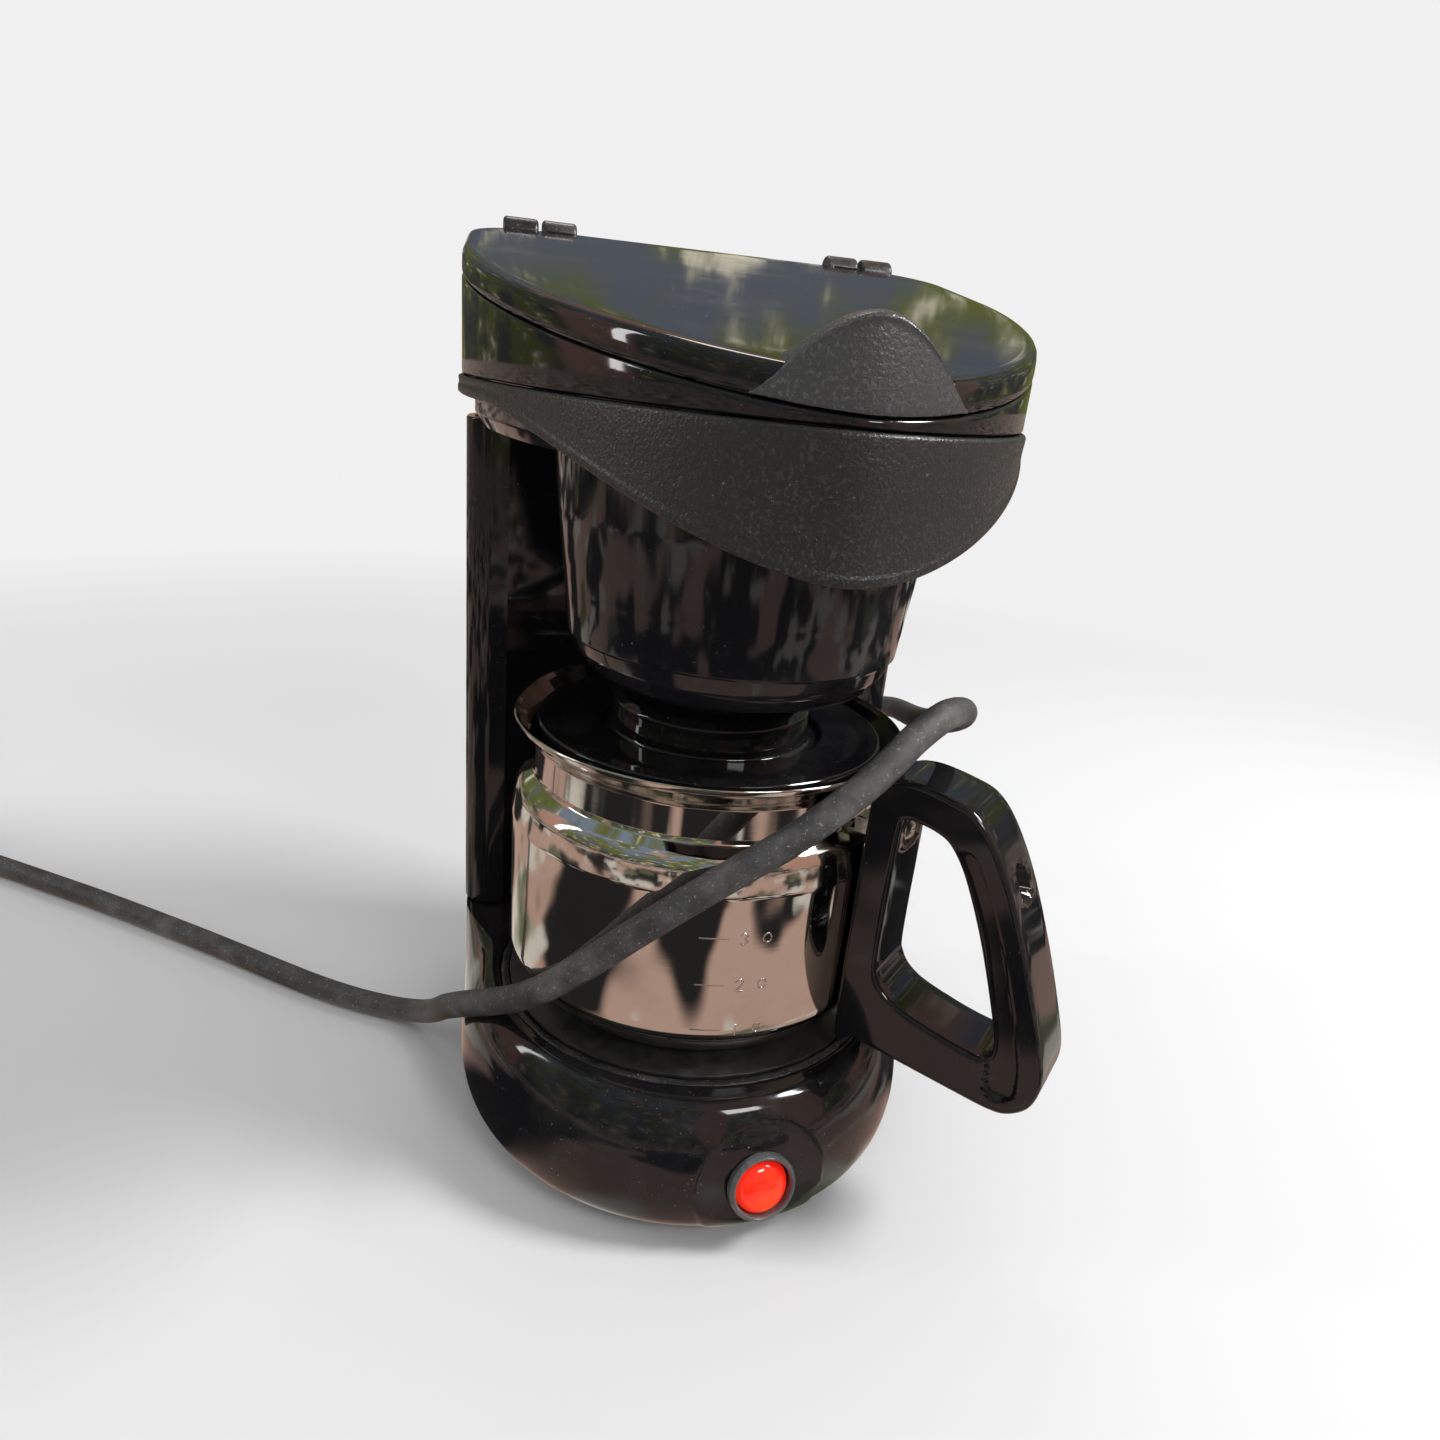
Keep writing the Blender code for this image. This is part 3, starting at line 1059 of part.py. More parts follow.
def make_plug():
    """Moulded two-blade plug, lying flat on the surface."""
    middle = PLUG_HALF_HEIGHT
    rings = []
    for along, wide, tall in ((0, 5.0, 4.2), (8, 6.4, 5.6), (14, PLUG_HALF_WIDTH - 1, PLUG_HALF_HEIGHT - 1),
                              (18, PLUG_HALF_WIDTH, PLUG_HALF_HEIGHT), (PLUG_LENGTH - 2, PLUG_HALF_WIDTH, PLUG_HALF_HEIGHT),
                              (PLUG_LENGTH, PLUG_HALF_WIDTH - 1.6, PLUG_HALF_HEIGHT - 1.6)):
        centre = CORD_ROUTE[-1][2] + (middle - CORD_ROUTE[-1][2]) * min(along / 18, 1.0)
        ring = []
        for angle in np.linspace(0, 2 * math.pi, 20, endpoint=False):
            c, s = math.cos(angle), math.sin(angle)
            ring.append((along, wide * math.copysign(abs(c) ** 0.6, c),
                         centre + 0.1 + tall * math.copysign(abs(s) ** 0.6, s)))
        rings.append(ring)
    add("plug_body", loft(rings), "rubber", place=plug_frame())
    for side, name in ((-1, "plug_blade_left"), (1, "plug_blade_right")):
        centre = (PLUG_LENGTH + GAP + BLADE_LENGTH / 2, side * BLADE_SPACING / 2, middle)
        mesh = box((BLADE_LENGTH, BLADE_SIZE[0], BLADE_SIZE[1]), centre)
        add(name, mesh, "brass", place=plug_frame())


# ---------------------------------------------------------------- assembly

clear_scene()
MACHINE = collection("drip_coffee_maker")
CUTTERS = collection("cutters")
AXIS = bpy.data.objects.new("carafe_axis", None)
MACHINE.objects.link(AXIS)
AXIS.location = (AXIS_X * MM, AXIS_Y * MM, 0.0)

make_base_housing()
make_bottom_cover()
make_feet()
make_cover_screws()
make_plate()
make_heater()
make_thermal_parts()
make_hoses()
make_switch()
make_tower()
make_tank()
make_head()
make_band()
make_funnel()
make_basket()
make_valve()
LID, LID_HINGE = make_lid()
make_hinge_pins()
make_channel(LID_HINGE)
make_carafe_body()
make_carafe_lid()
make_handle()
make_handle_screw()
make_cord()
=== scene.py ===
"""Look of the small drip coffee maker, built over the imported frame.

Lengths are in millimetres about the carafe's upright axis until place() carries them to the row
frame and to metres: p = (x + AXIS_X, y + AXIS_Y, z) / 1000.
Head outline: x = W sin(t)^(2/k), y = S - (S - F) cos(t)^(2/k) for t from 0 to 90 degrees, then
straight sides and round back corners. Base outline: the same with k = 2. Tower outline: a hollow
arc in front, rounded corners. Walls are these outlines lofted through (inset, height) profiles
whose corners are rounded by arcs. Turned pieces are profiles (r, z) swept about an upright axis.
Handle: a rounded-rectangle section carried round a D-shaped loop, pressed in along a slot line.
Cord: a circle carried along the Catmull-Rom curve through the route's points.
"""
import json
import math

import bpy
import numpy as np
from mathutils import Matrix, Vector


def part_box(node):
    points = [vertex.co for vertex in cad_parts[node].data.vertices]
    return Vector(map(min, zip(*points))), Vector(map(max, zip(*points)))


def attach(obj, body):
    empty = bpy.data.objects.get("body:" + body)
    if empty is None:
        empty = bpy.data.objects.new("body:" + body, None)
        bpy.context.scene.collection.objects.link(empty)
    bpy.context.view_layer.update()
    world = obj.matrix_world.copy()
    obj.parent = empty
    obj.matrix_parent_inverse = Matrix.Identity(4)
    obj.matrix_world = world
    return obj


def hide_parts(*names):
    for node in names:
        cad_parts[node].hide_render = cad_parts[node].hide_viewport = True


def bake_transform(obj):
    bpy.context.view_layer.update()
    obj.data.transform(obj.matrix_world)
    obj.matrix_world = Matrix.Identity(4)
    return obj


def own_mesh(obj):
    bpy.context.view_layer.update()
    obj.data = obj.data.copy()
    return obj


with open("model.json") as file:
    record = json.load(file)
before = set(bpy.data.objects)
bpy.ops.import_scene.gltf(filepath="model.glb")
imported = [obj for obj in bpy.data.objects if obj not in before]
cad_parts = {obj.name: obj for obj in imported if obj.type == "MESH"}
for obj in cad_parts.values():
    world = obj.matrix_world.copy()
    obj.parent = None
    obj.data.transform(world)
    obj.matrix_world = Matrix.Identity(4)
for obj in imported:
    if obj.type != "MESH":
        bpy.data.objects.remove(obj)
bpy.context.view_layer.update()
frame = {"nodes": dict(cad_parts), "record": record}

AXIS = np.array([-8.96, 0.3, 0.0])
MM = 0.001
PALE = 0.875  # tone of the room behind


def place(points):
    """Millimetres about the carafe axis to metres in the row frame."""
    return (np.asarray(points, float) + AXIS) * MM


# ------------------------------------------------------------------ camera
AZIMUTH, ELEVATION, ROLL = math.radians(-12.4), math.radians(21.6), math.radians(5.6)


def make_camera():
    """Close wide-angle camera, left of the front and above, rolled a little."""
    back = Vector((math.sin(AZIMUTH) * math.cos(ELEVATION), -math.cos(AZIMUTH) * math.cos(ELEVATION),
                   math.sin(ELEVATION)))
    right = Vector((0, 0, 1)).cross(back).normalized()
    up = back.cross(right)
    level, tall = right.copy(), up.copy()
    right = math.cos(ROLL) * level + math.sin(ROLL) * tall
    up = -math.sin(ROLL) * level + math.cos(ROLL) * tall
    data = bpy.data.cameras.new("camera")
    data.lens = 25.0
    data.sensor_width = 36.0
    data.shift_x = 0.0082
    data.shift_y = 0.0313
    data.clip_start = 0.01
    camera = bpy.data.objects.new("camera", data)
    bpy.context.scene.collection.objects.link(camera)
    turn = Matrix((right, up, back)).transposed().to_4x4()
    camera.matrix_world = Matrix.Translation(Vector(place((-59.1, -272.9, 225.2)))) @ turn
    bpy.context.scene.camera = camera


make_camera()


# ------------------------------------------------------------------ mesh helpers
def sharpen(mesh, angle=35):
    """Smooth shading that stays crisp at real edges."""
    mesh.shade_smooth()
    mesh.set_sharp_from_angle(angle=math.radians(angle))


def mesh_object(name, points, faces, material, body, nodes=(), angle=35, where=place):
    """A piece from points and faces, facing outwards, riding on a body and standing for CAD nodes."""
    points = where(points) if where else np.asarray(points, float)
    mesh = bpy.data.meshes.new(name)
    mesh.from_pydata(points.tolist(), [], faces)
    mesh.validate()
    tri = np.array([(f[0], f[i], f[i + 1]) for f in faces for i in range(1, len(f) - 1)])
    a, b, c = points[tri[:, 0]], points[tri[:, 1]], points[tri[:, 2]]
    if np.einsum("ij,ij->i", a, np.cross(b, c)).sum() < 0:
        mesh.flip_normals()
    sharpen(mesh, angle)
    mesh.materials.append(material)
    obj = bpy.data.objects.new(name, mesh)
    bpy.context.scene.collection.objects.link(obj)
    if nodes:
        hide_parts(*nodes)
    if body:
        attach(obj, body)
    return obj


def grid(rings, loop=False, cap=True):
    """Points and faces of a skin over rings (R, N, 3); loop joins last to first, cap closes both ends."""
    rings = np.asarray(rings, float)
    rows, count = rings.shape[:2]
    points = rings.reshape(-1, 3)
    faces = []
    for r in range(rows if loop else rows - 1):
        a, b = r * count, ((r + 1) % rows) * count
        faces += [(a + i, a + (i + 1) % count, b + (i + 1) % count, b + i) for i in range(count)]
    if not loop and cap:
        extra = np.array([rings[0].mean(0), rings[-1].mean(0)])
        points = np.vstack([points, extra])
        low, high = rows * count, rows * count + 1
        last = (rows - 1) * count
        faces += [(low, (i + 1) % count, i) for i in range(count)]
        faces += [(high, last + i, last + (i + 1) % count) for i in range(count)]
    return points, faces


def fillet(corners, closed=False, step=0.26):
    """A polyline with each corner (x, y, radius) rounded by an arc."""
    count = len(corners)
    out = []
    for i, (x, y, radius) in enumerate(corners):
        point = np.array([x, y], float)
        if radius <= 0 or (not closed and i in (0, count - 1)):
            out.append(point)
            continue
        before = np.array(corners[i - 1][:2], float) - point
        after = np.array(corners[(i + 1) % count][:2], float) - point
        reach = 0.49 * min(np.linalg.norm(before), np.linalg.norm(after))
        before /= np.linalg.norm(before)
        after /= np.linalg.norm(after)
        angle = math.acos(float(np.clip(before @ after, -0.9999, 0.9999)))
        cut = min(radius / math.tan(angle / 2), reach)
        radius = cut * math.tan(angle / 2)
        middle = (before + after) / np.linalg.norm(before + after)
        centre = point + middle * radius / math.sin(angle / 2)
        start, end = point + before * cut - centre, point + after * cut - centre
        sweep = math.pi - angle
        steps = max(2, int(sweep / step) + 1)
        for k in range(steps + 1):
            share = k / steps
            arc = (math.sin((1 - share) * sweep) * start + math.sin(share * sweep) * end) / math.sin(sweep)
            out.append(centre + arc)
    return np.array(out)


def turned(corners, centre=(0.0, 0.0), count=128, closed=True, step=0.16):
    """Skin of a profile turned about an upright axis; a closed profile makes a ring-shaped solid."""
    profile = fillet(corners, closed, step)
    angles = np.linspace(0, 2 * math.pi, count, endpoint=False)
    circle = np.stack([np.cos(angles), np.sin(angles)], 1)
    rings = np.zeros((len(profile), count, 3))
    rings[:, :, :2] = np.maximum(profile[:, 0], 0.02)[:, None, None] * circle[None] + np.array(centre)
    rings[:, :, 2] = profile[:, 1][:, None]
    return grid(rings, loop=closed)


def dense(start, end, count):
    """Evenly spaced numbers without the last."""
    return np.linspace(start, end, count, endpoint=False)


def bow(centre, radius, start, end, count):
    """Points on an arc, angles in degrees."""
    angles = np.radians(np.linspace(start, end, count))
    return np.stack([centre[0] + radius * np.cos(angles), centre[1] + radius * np.sin(angles)], 1)


def both(half):
    """A right half outline, front to back, and its mirror image."""
    half = np.asarray(half)
    other = half[half[:, 0] > 1e-6][::-1] * np.array([-1.0, 1.0])
    return np.vstack([half, other])


def nose(width, front, straight, power, count):
    """Right half of a superellipse nose."""
    t = np.linspace(0, math.pi / 2, count)
    x = width * np.sin(t) ** (2 / power)
    y = straight - (straight - front) * np.cos(t) ** (2 / power)
    return np.stack([x, y], 1)


HALF_WIDTH, BACK_Y, CORNER = 71.8, 79.0, 24.0


def head_line(inset=0.0, back_inset=None, count=60):
    """Head outline moved in by an inset."""
    back = BACK_Y - (inset if back_inset is None else back_inset)
    side = HALF_WIDTH - inset
    corner = max(CORNER - inset, 2.0)
    half = nose(side, -105.9 + inset, 18.0, 1.7, count)
    mid = np.stack([np.full(5, side), np.linspace(18, back - corner, 6)[1:]], 1)
    turn = bow((side - corner, back - corner), corner, 0, 90, 16)[1:]
    flat = np.stack([np.linspace(side - corner, 0, 7)[1:], np.full(6, back)], 1)
    return both(np.vstack([half, mid, turn, flat]))


def loft_points(outline, profile, height=None):
    """Rings of an outline function through (inset, z) pairs; height(z, xy) may bend them."""
    rings = []
    for inset, z in profile:
        line = outline(inset)
        level = np.full(len(line), float(z)) if height is None else height(z, line)
        rings.append(np.column_stack([line, level]))
    return np.array(rings)


# ------------------------------------------------------------------ materials
def shader(name):
    """A new material with its Principled node, links and object coordinates."""
    material = bpy.data.materials.new(name)
    material.use_nodes = True
    tree = material.node_tree
    principled = tree.nodes["Principled BSDF"]
    where = tree.nodes.new("ShaderNodeTexCoord").outputs["Object"]
    return material, tree, principled, where


def noise(tree, where, scale, detail=4.0, rough=0.6, stretch=None):
    """A noise value in object space."""
    if stretch:
        mapping = tree.nodes.new("ShaderNodeMapping")
        mapping.inputs["Scale"].default_value = stretch
        tree.links.new(where, mapping.inputs["Vector"])
        where = mapping.outputs["Vector"]
    node = tree.nodes.new("ShaderNodeTexNoise")
    node.inputs["Scale"].default_value = scale
    node.inputs["Detail"].default_value = detail
    node.inputs["Roughness"].default_value = rough
    tree.links.new(where, node.inputs["Vector"])
    return node.outputs["Fac"]


def ramp(tree, value, low, high, start=0.0, end=1.0):
    """Maps a value from low..high to start..end, smoothly."""
    node = tree.nodes.new("ShaderNodeMapRange")
    node.interpolation_type = "SMOOTHSTEP"
    for key, number in zip(("From Min", "From Max", "To Min", "To Max"), (low, high, start, end)):
        node.inputs[key].default_value = number
    tree.links.new(value, node.inputs["Value"])
    return node.outputs["Result"]


def maths(tree, kind, a, b):
    """One arithmetic step on two values or sockets."""
    node = tree.nodes.new("ShaderNodeMath")
    node.operation = kind
    for key, value in zip((0, 1), (a, b)):
        if isinstance(value, (int, float)):
            node.inputs[key].default_value = value
        else:
            tree.links.new(value, node.inputs[key])
    return node.outputs[0]


def mix_colour(tree, share, a, b):
    """Blend of two colours or sockets."""
    node = tree.nodes.new("ShaderNodeMix")
    node.data_type = "RGBA"
    tree.links.new(share, node.inputs["Factor"])
    for key, value in (("A", a), ("B", b)):
        socket = [s for s in node.inputs if s.name == key and s.type == "RGBA"][0]
        if isinstance(value, tuple):
            socket.default_value = (*value, 1.0)
        else:
            tree.links.new(value, socket)
    return [s for s in node.outputs if s.type == "RGBA"][0]


def bump(tree, principled, heights):
    """Chained bumps: (height socket, strength, distance in metres)."""
    normal = None
    for height, strength, distance in heights:
        node = tree.nodes.new("ShaderNodeBump")
        node.inputs["Strength"].default_value = strength
        node.inputs["Distance"].default_value = distance
        tree.links.new(height, node.inputs["Height"])
        if normal is not None:
            tree.links.new(normal, node.inputs["Normal"])
        normal = node.outputs["Normal"]
    tree.links.new(normal, principled.inputs["Normal"])


def gloss_black(name, dust=0.5, rough=0.06, tint=(0.006, 0.006, 0.007)):
    """Gloss moulded plastic: slow ripple, fine scratches, film of dust and bright specks."""
    material, tree, p, where = shader(name)
    film = ramp(tree, noise(tree, where, 38, 6, 0.7), 0.42, 0.78)
    specks = ramp(tree, noise(tree, where, 1500, 2, 0.5), 0.70, 0.78)
    patches = ramp(tree, noise(tree, where, 60, 3, 0.6), 0.35, 0.7)
    specks = maths(tree, "MULTIPLY", specks, patches)
    share = maths(tree, "MULTIPLY", maths(tree, "ADD", maths(tree, "MULTIPLY", film, 0.045), specks), dust)
    tree.links.new(mix_colour(tree, share, tint, (0.32, 0.3, 0.27)), p.inputs["Base Color"])
    scratch = noise(tree, where, 260, 3, 0.6, (1.0, 1.0, 0.08))
    roughness = maths(tree, "ADD", maths(tree, "MULTIPLY", film, 0.10 * dust), rough)
    roughness = maths(tree, "ADD", roughness, maths(tree, "MULTIPLY", specks, 0.4 * dust))
    tree.links.new(roughness, p.inputs["Roughness"])
    bump(tree, p, [(noise(tree, where, 14, 2, 0.4), 0.03, 0.0010), (scratch, 0.02, 0.0001),
                   (specks, 0.25 * dust, 0.0001)])
    p.inputs["Specular IOR Level"].default_value = 0.5
    return material


def grained(name, colour=(0.022, 0.022, 0.023), rough=0.42, light=(0.06, 0.06, 0.062)):
    """Spark-eroded grain: fine pebbling over the whole surface, worn a little brighter in places."""
    material, tree, p, where = shader(name)
    pebble = noise(tree, where, 1300, 2, 0.55)
    worn = ramp(tree, noise(tree, where, 22, 4, 0.6), 0.4, 0.75)
    crest = ramp(tree, pebble, 0.5, 0.66)
    specks = ramp(tree, noise(tree, where, 1700, 1, 0.5), 0.72, 0.8)
    share = maths(tree, "MULTIPLY", crest, maths(tree, "ADD", maths(tree, "MULTIPLY", worn, 0.5), 0.25))
    colour = mix_colour(tree, share, colour, light)
    tree.links.new(mix_colour(tree, maths(tree, "MULTIPLY", specks, 0.35), colour, (0.3, 0.28, 0.25)),
                   p.inputs["Base Color"])
    tree.links.new(ramp(tree, pebble, 0.35, 0.7, rough + 0.1, rough - 0.1), p.inputs["Roughness"])
    bump(tree, p, [(pebble, 0.55, 0.0004)])
    return material


def steel(name, rough=0.05, colour=(0.66, 0.645, 0.62)):
    """Polished drawn steel: faint waviness, hairlines round it and a thin film of prints."""
    material, tree, p, where = shader(name)
    p.inputs["Metallic"].default_value = 1.0
    film = ramp(tree, noise(tree, where, 30, 5, 0.65), 0.4, 0.8)
    tree.links.new(mix_colour(tree, film, colour, (0.56, 0.53, 0.49)), p.inputs["Base Color"])
    hair = noise(tree, where, 900, 2, 0.5, (0.03, 0.03, 1.0))
    tree.links.new(maths(tree, "ADD", maths(tree, "MULTIPLY", film, 0.07), rough), p.inputs["Roughness"])
    bump(tree, p, [(noise(tree, where, 26, 2, 0.4), 0.05, 0.0010), (hair, 0.035, 0.00008)])
    return material


def satin(name, colour, rough=0.4, metal=0.0, other=None, scale=120, depth=0.0002, dust=0.0):
    """Moulded or machined surface with soft mottling, fine grain and some dust."""
    material, tree, p, where = shader(name)
    other = other or tuple(min(c * 1.5 + 0.004, 1.0) for c in colour)
    mottle = ramp(tree, noise(tree, where, scale, 4, 0.6), 0.35, 0.7)
    base = mix_colour(tree, mottle, colour, other)
    if dust:
        specks = ramp(tree, noise(tree, where, 1300, 2, 0.5), 0.62, 0.76, 0.0, dust)
        film = ramp(tree, noise(tree, where, 45, 5, 0.7), 0.4, 0.75, 0.0, dust * 0.35)
        base = mix_colour(tree, maths(tree, "ADD", specks, film), base, (0.34, 0.32, 0.29))
    tree.links.new(base, p.inputs["Base Color"])
    p.inputs["Metallic"].default_value = metal
    tree.links.new(ramp(tree, mottle, 0, 1, rough - 0.06, rough + 0.08), p.inputs["Roughness"])
    bump(tree, p, [(noise(tree, where, scale * 9, 3, 0.6), 0.25, depth)])
    return material


def lens_material():
    """Clear red dome over a lit lamp, its red mottled a little."""
    material, tree, p, where = shader("red_lens")
    glow = ramp(tree, noise(tree, where, 60, 2, 0.4), 0.3, 0.7)
    colour = mix_colour(tree, glow, (0.86, 0.012, 0.004), (0.95, 0.05, 0.012))
    tree.links.new(colour, p.inputs["Base Color"])
    tree.links.new(colour, p.inputs["Emission Color"])
    p.inputs["Emission Strength"].default_value = 0.45
    p.inputs["Roughness"].default_value = 0.08
    p.inputs["Coat Weight"].default_value = 0.6
    p.inputs["Coat Roughness"].default_value = 0.03
    bump(tree, p, [(noise(tree, where, 300, 2, 0.5), 0.04, 0.0002)])
    return material


BLACK = gloss_black("gloss_black_plastic", 0.45)
BLACK_TOP = gloss_black("gloss_black_lid", 0.8, 0.05)
BLACK_CLEAN = gloss_black("gloss_black_handle", 0.3, 0.05)
BLACK_BASE = gloss_black("gloss_black_base", 0.9, 0.07)
GRAIN = grained("grained_black_plastic", (0.016, 0.016, 0.017), 0.36, (0.05, 0.05, 0.052))
# Thumb grip: its own dark grey grain, made lighter as a painted highlight for the sheen the light gives it
GRIP_GREY_AND_PAINTED_HIGHLIGHT = grained("grained_grip_grey_and_painted_highlight", (0.045, 0.045, 0.046), 0.32, (0.15, 0.15, 0.152))
STEEL = steel("polished_steel")
SATIN = satin("satin_black_plastic", (0.010, 0.010, 0.011), 0.32, dust=0.4)
CORD_RUBBER = satin("dusty_cord_rubber", (0.030, 0.030, 0.031), 0.62, scale=90, depth=0.0002, dust=0.55)
LENS = lens_material()
BEZEL = satin("switch_frame_grey", (0.07, 0.07, 0.072), 0.24, dust=0.12)
PLATE = satin("coated_plate", (0.012, 0.012, 0.012), 0.45, 0.1, scale=200)
NODE_LOOKS = {
    "steel": satin("turned_steel", (0.55, 0.54, 0.52), 0.25, 1.0, scale=60),
    "plate_black": PLATE,
    "aluminium": satin("cast_aluminium", (0.56, 0.56, 0.57), 0.45, 1.0, scale=90, depth=0.0004),
    "silicone": satin("milky_silicone", (0.66, 0.66, 0.62), 0.45, scale=50),
    "rubber": CORD_RUBBER,
    "tank_plastic": satin("smoke_tank_plastic", (0.05, 0.05, 0.053), 0.22, scale=40),
    "matte_black": SATIN,
    "grained_black": GRAIN,
    "brass": satin("blade_brass", (0.72, 0.53, 0.25), 0.28, 1.0, scale=80),
    "switch_grey": BEZEL,
    "lens_red": LENS,
    "lamp_glass": satin("lamp_glass", (0.7, 0.4, 0.2), 0.12, scale=80),
    "gloss_black": BLACK,
}


def dress_nodes():
    """Materials, softened edges and smooth shading for the CAD nodes that stay in view."""
    slots = {entry["node"]: entry["material_slot"] for entry in frame["record"]["subparts"]}
    for name, obj in frame["nodes"].items():
        look = SATIN if name == "plate_gasket" else NODE_LOOKS[slots[name]]
        if not obj.data.materials:
            obj.data.materials.append(look)
        for i in range(len(obj.material_slots)):
            obj.material_slots[i].material = look
        weld = obj.modifiers.new("weld", "WELD")
        weld.merge_threshold = 0.00001
        edge = obj.modifiers.new("soft_edges", "BEVEL")
        edge.width = 0.00025
        edge.segments = 2
        edge.limit_method = "ANGLE"
        edge.angle_limit = math.radians(38)
        edge.harden_normals = True
        obj.data.shade_smooth()


dress_nodes()

# ------------------------------------------------------------------ cord
CORD_ROUTE = ((28.0, 107.1, 66.0), (28.0, 112.0, 66.0), (28.6, 119.0, 66.4), (33.0, 130.0, 68.0),
              (43.5, 140.5, 72.0), (58.0, 145.0, 77.0), (73.0, 142.0, 83.0), (85.0, 132.5, 90.0),
              (91.0, 118.0, 96.0), (92.5, 100.0, 102.0), (90.5, 80.0, 108.0), (86.5, 60.0, 113.0),
              (81.5, 38.0, 118.5), (76.5, 16.0, 125.0), (71.5, -6.0, 133.0), (66.5, -24.0, 140.5),
              (59.5, -38.5, 146.6), (50.0, -48.5, 148.6), (40.0, -54.6, 144.0), (32.0, -58.4, 137.4),
              (22.0, -61.2, 129.6), (10.5, -63.2, 121.4), (-2.5, -63.4, 112.8), (-14.5, -61.6, 103.2),
              (-25.5, -58.4, 93.0), (-35.5, -53.6, 82.0), (-44.5, -46.4, 70.6), (-52.5, -36.6, 59.6),
              (-60.5, -26.0, 50.6), (-68.6, -14.6, 42.0), (-75.6, -1.0, 31.6), (-80.0, 13.4, 20.0),
              (-85.4, 26.6, 10.2), (-95.0, 36.0, 5.0), (-109.0, 43.0, 4.3), (-125.0, 52.4, 4.3),
              (-143.2, 65.0, 4.3), (-165.4, 80.8, 4.3), (-191.0, 98.4, 4.3), (-217.9, 116.2, 4.3),
              (-243.0, 132.0, 4.3), (-268.0, 147.4, 4.3), (-290.0, 160.6, 4.3))


def spaced_route(route, step):
    """Evenly spaced points on the Catmull-Rom curve through the route."""
    given = np.array(route, float)
    padded = np.vstack([2 * given[0] - given[1], given, 2 * given[-1] - given[-2]])
    share = np.linspace(0.0, 1.0, 12, endpoint=False)[:, None]
    fine = []
    for i in range(len(given) - 1):
        a, b, c, d = padded[i:i + 4]
        fine.append(0.5 * (2 * b + (c - a) * share + (2 * a - 5 * b + 4 * c - d) * share ** 2
                           + (3 * b - a - 3 * c + d) * share ** 3))
    fine = np.vstack([*fine, given[-1:]])
    run = np.concatenate([[0.0], np.cumsum(np.linalg.norm(np.diff(fine, axis=0), axis=1))])
    marks = np.linspace(0.0, run[-1], int(round(run[-1] / step)) + 1)
    return np.stack([np.interp(marks, run, fine[:, k]) for k in range(3)], axis=1), run[-1]


def swept(points, radius, sides=24):
    """Skin of a round tube along points, its frame carried without twist."""
    points = np.asarray(points, float)
    along = np.gradient(points, axis=0)
    along /= np.linalg.norm(along, axis=1)[:, None]
    across = np.cross(along[0], (0.0, 0.0, 1.0))
    if np.linalg.norm(across) < 1e-3:
        across = np.array([1.0, 0.0, 0.0])
    radius = np.broadcast_to(radius, len(points))
    angles = dense(0, 2 * math.pi, sides)
    rings = []
    for point, way, size in zip(points, along, radius):
        across = across - way * (across @ way)
        across /= np.linalg.norm(across)
        up = np.cross(way, across)
        rings.append(point + size * (np.cos(angles)[:, None] * across + np.sin(angles)[:, None] * up))
    return grid(rings)


def make_cord():
    """Free cord from the strain relief to the plug."""
    points, length = spaced_route(CORD_ROUTE, 3.0)
    skin, faces = swept(points, 3.97, 28)
    obj = mesh_object("mains_cord", skin, faces, CORD_RUBBER, None, ("power_cord",))
    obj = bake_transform(obj)


make_cord()


# ------------------------------------------------------------------ base
SWITCH_AT = np.array([11.1, -72.4, 21.0])
TURN, TILT = math.radians(8.7), math.radians(14.0)
SWITCH = (Matrix.Rotation(TURN, 3, "Z") @ Matrix.Rotation(math.pi / 2 - TILT, 3, "X"))
SWITCH = np.array([[SWITCH[i][j] for j in range(3)] for i in range(3)])
BASE_PROFILE = ((8.4, 3.0), (5.0, 5.5), (2.4, 8.4), (0.8, 12.2), (0.0, 18.8), (0.8, 28.0), (2.8, 35.1),
                (5.2, 40.1), (7.2, 43.0), (9.2, 44.6))


def base_line(inset=0.0, wall=0.0, shoulder=False):
    """Base outline; a shoulder's inset fades out towards the tower."""
    back_inset = 0.0 if shoulder else inset
    back = BACK_Y - back_inset - wall
    corner = max(22.0 - back_inset - wall, 2.0)
    t = np.concatenate([np.linspace(0, 0.5, 70)[:-1], np.linspace(0.5, math.pi / 2, 40)])
    wide = 71.2 - wall
    x = wide * np.sin(t)
    y = 2.9 - (77.9 - wall) * np.cos(t)
    scale = (wide - inset) / wide
    half = np.stack([x * scale, 2.9 + (y - 2.9) * scale], 1)
    run = np.linspace(12.0, 42.0, 12)
    share = (run - 12.0) / 30.0
    fade = share * share * (3 - 2 * share)
    mid = np.stack([wide - (inset + (back_inset - inset) * fade), run], 1)
    side = wide - back_inset
    turn = bow((side - corner, back - corner), corner, 0, 90, 14)
    flat = np.stack([np.linspace(side - corner, 0, 8)[1:], np.full(7, back)], 1)
    return both(np.vstack([half, mid, turn, flat]))


def smooth_profile(points, step):
    """Catmull-Rom curve through (inset, z) pairs, spaced by a step."""
    flat = [(a, b, 0.0) for a, b in points]
    fine, _ = spaced_route(flat, step)
    return fine[:, :2]


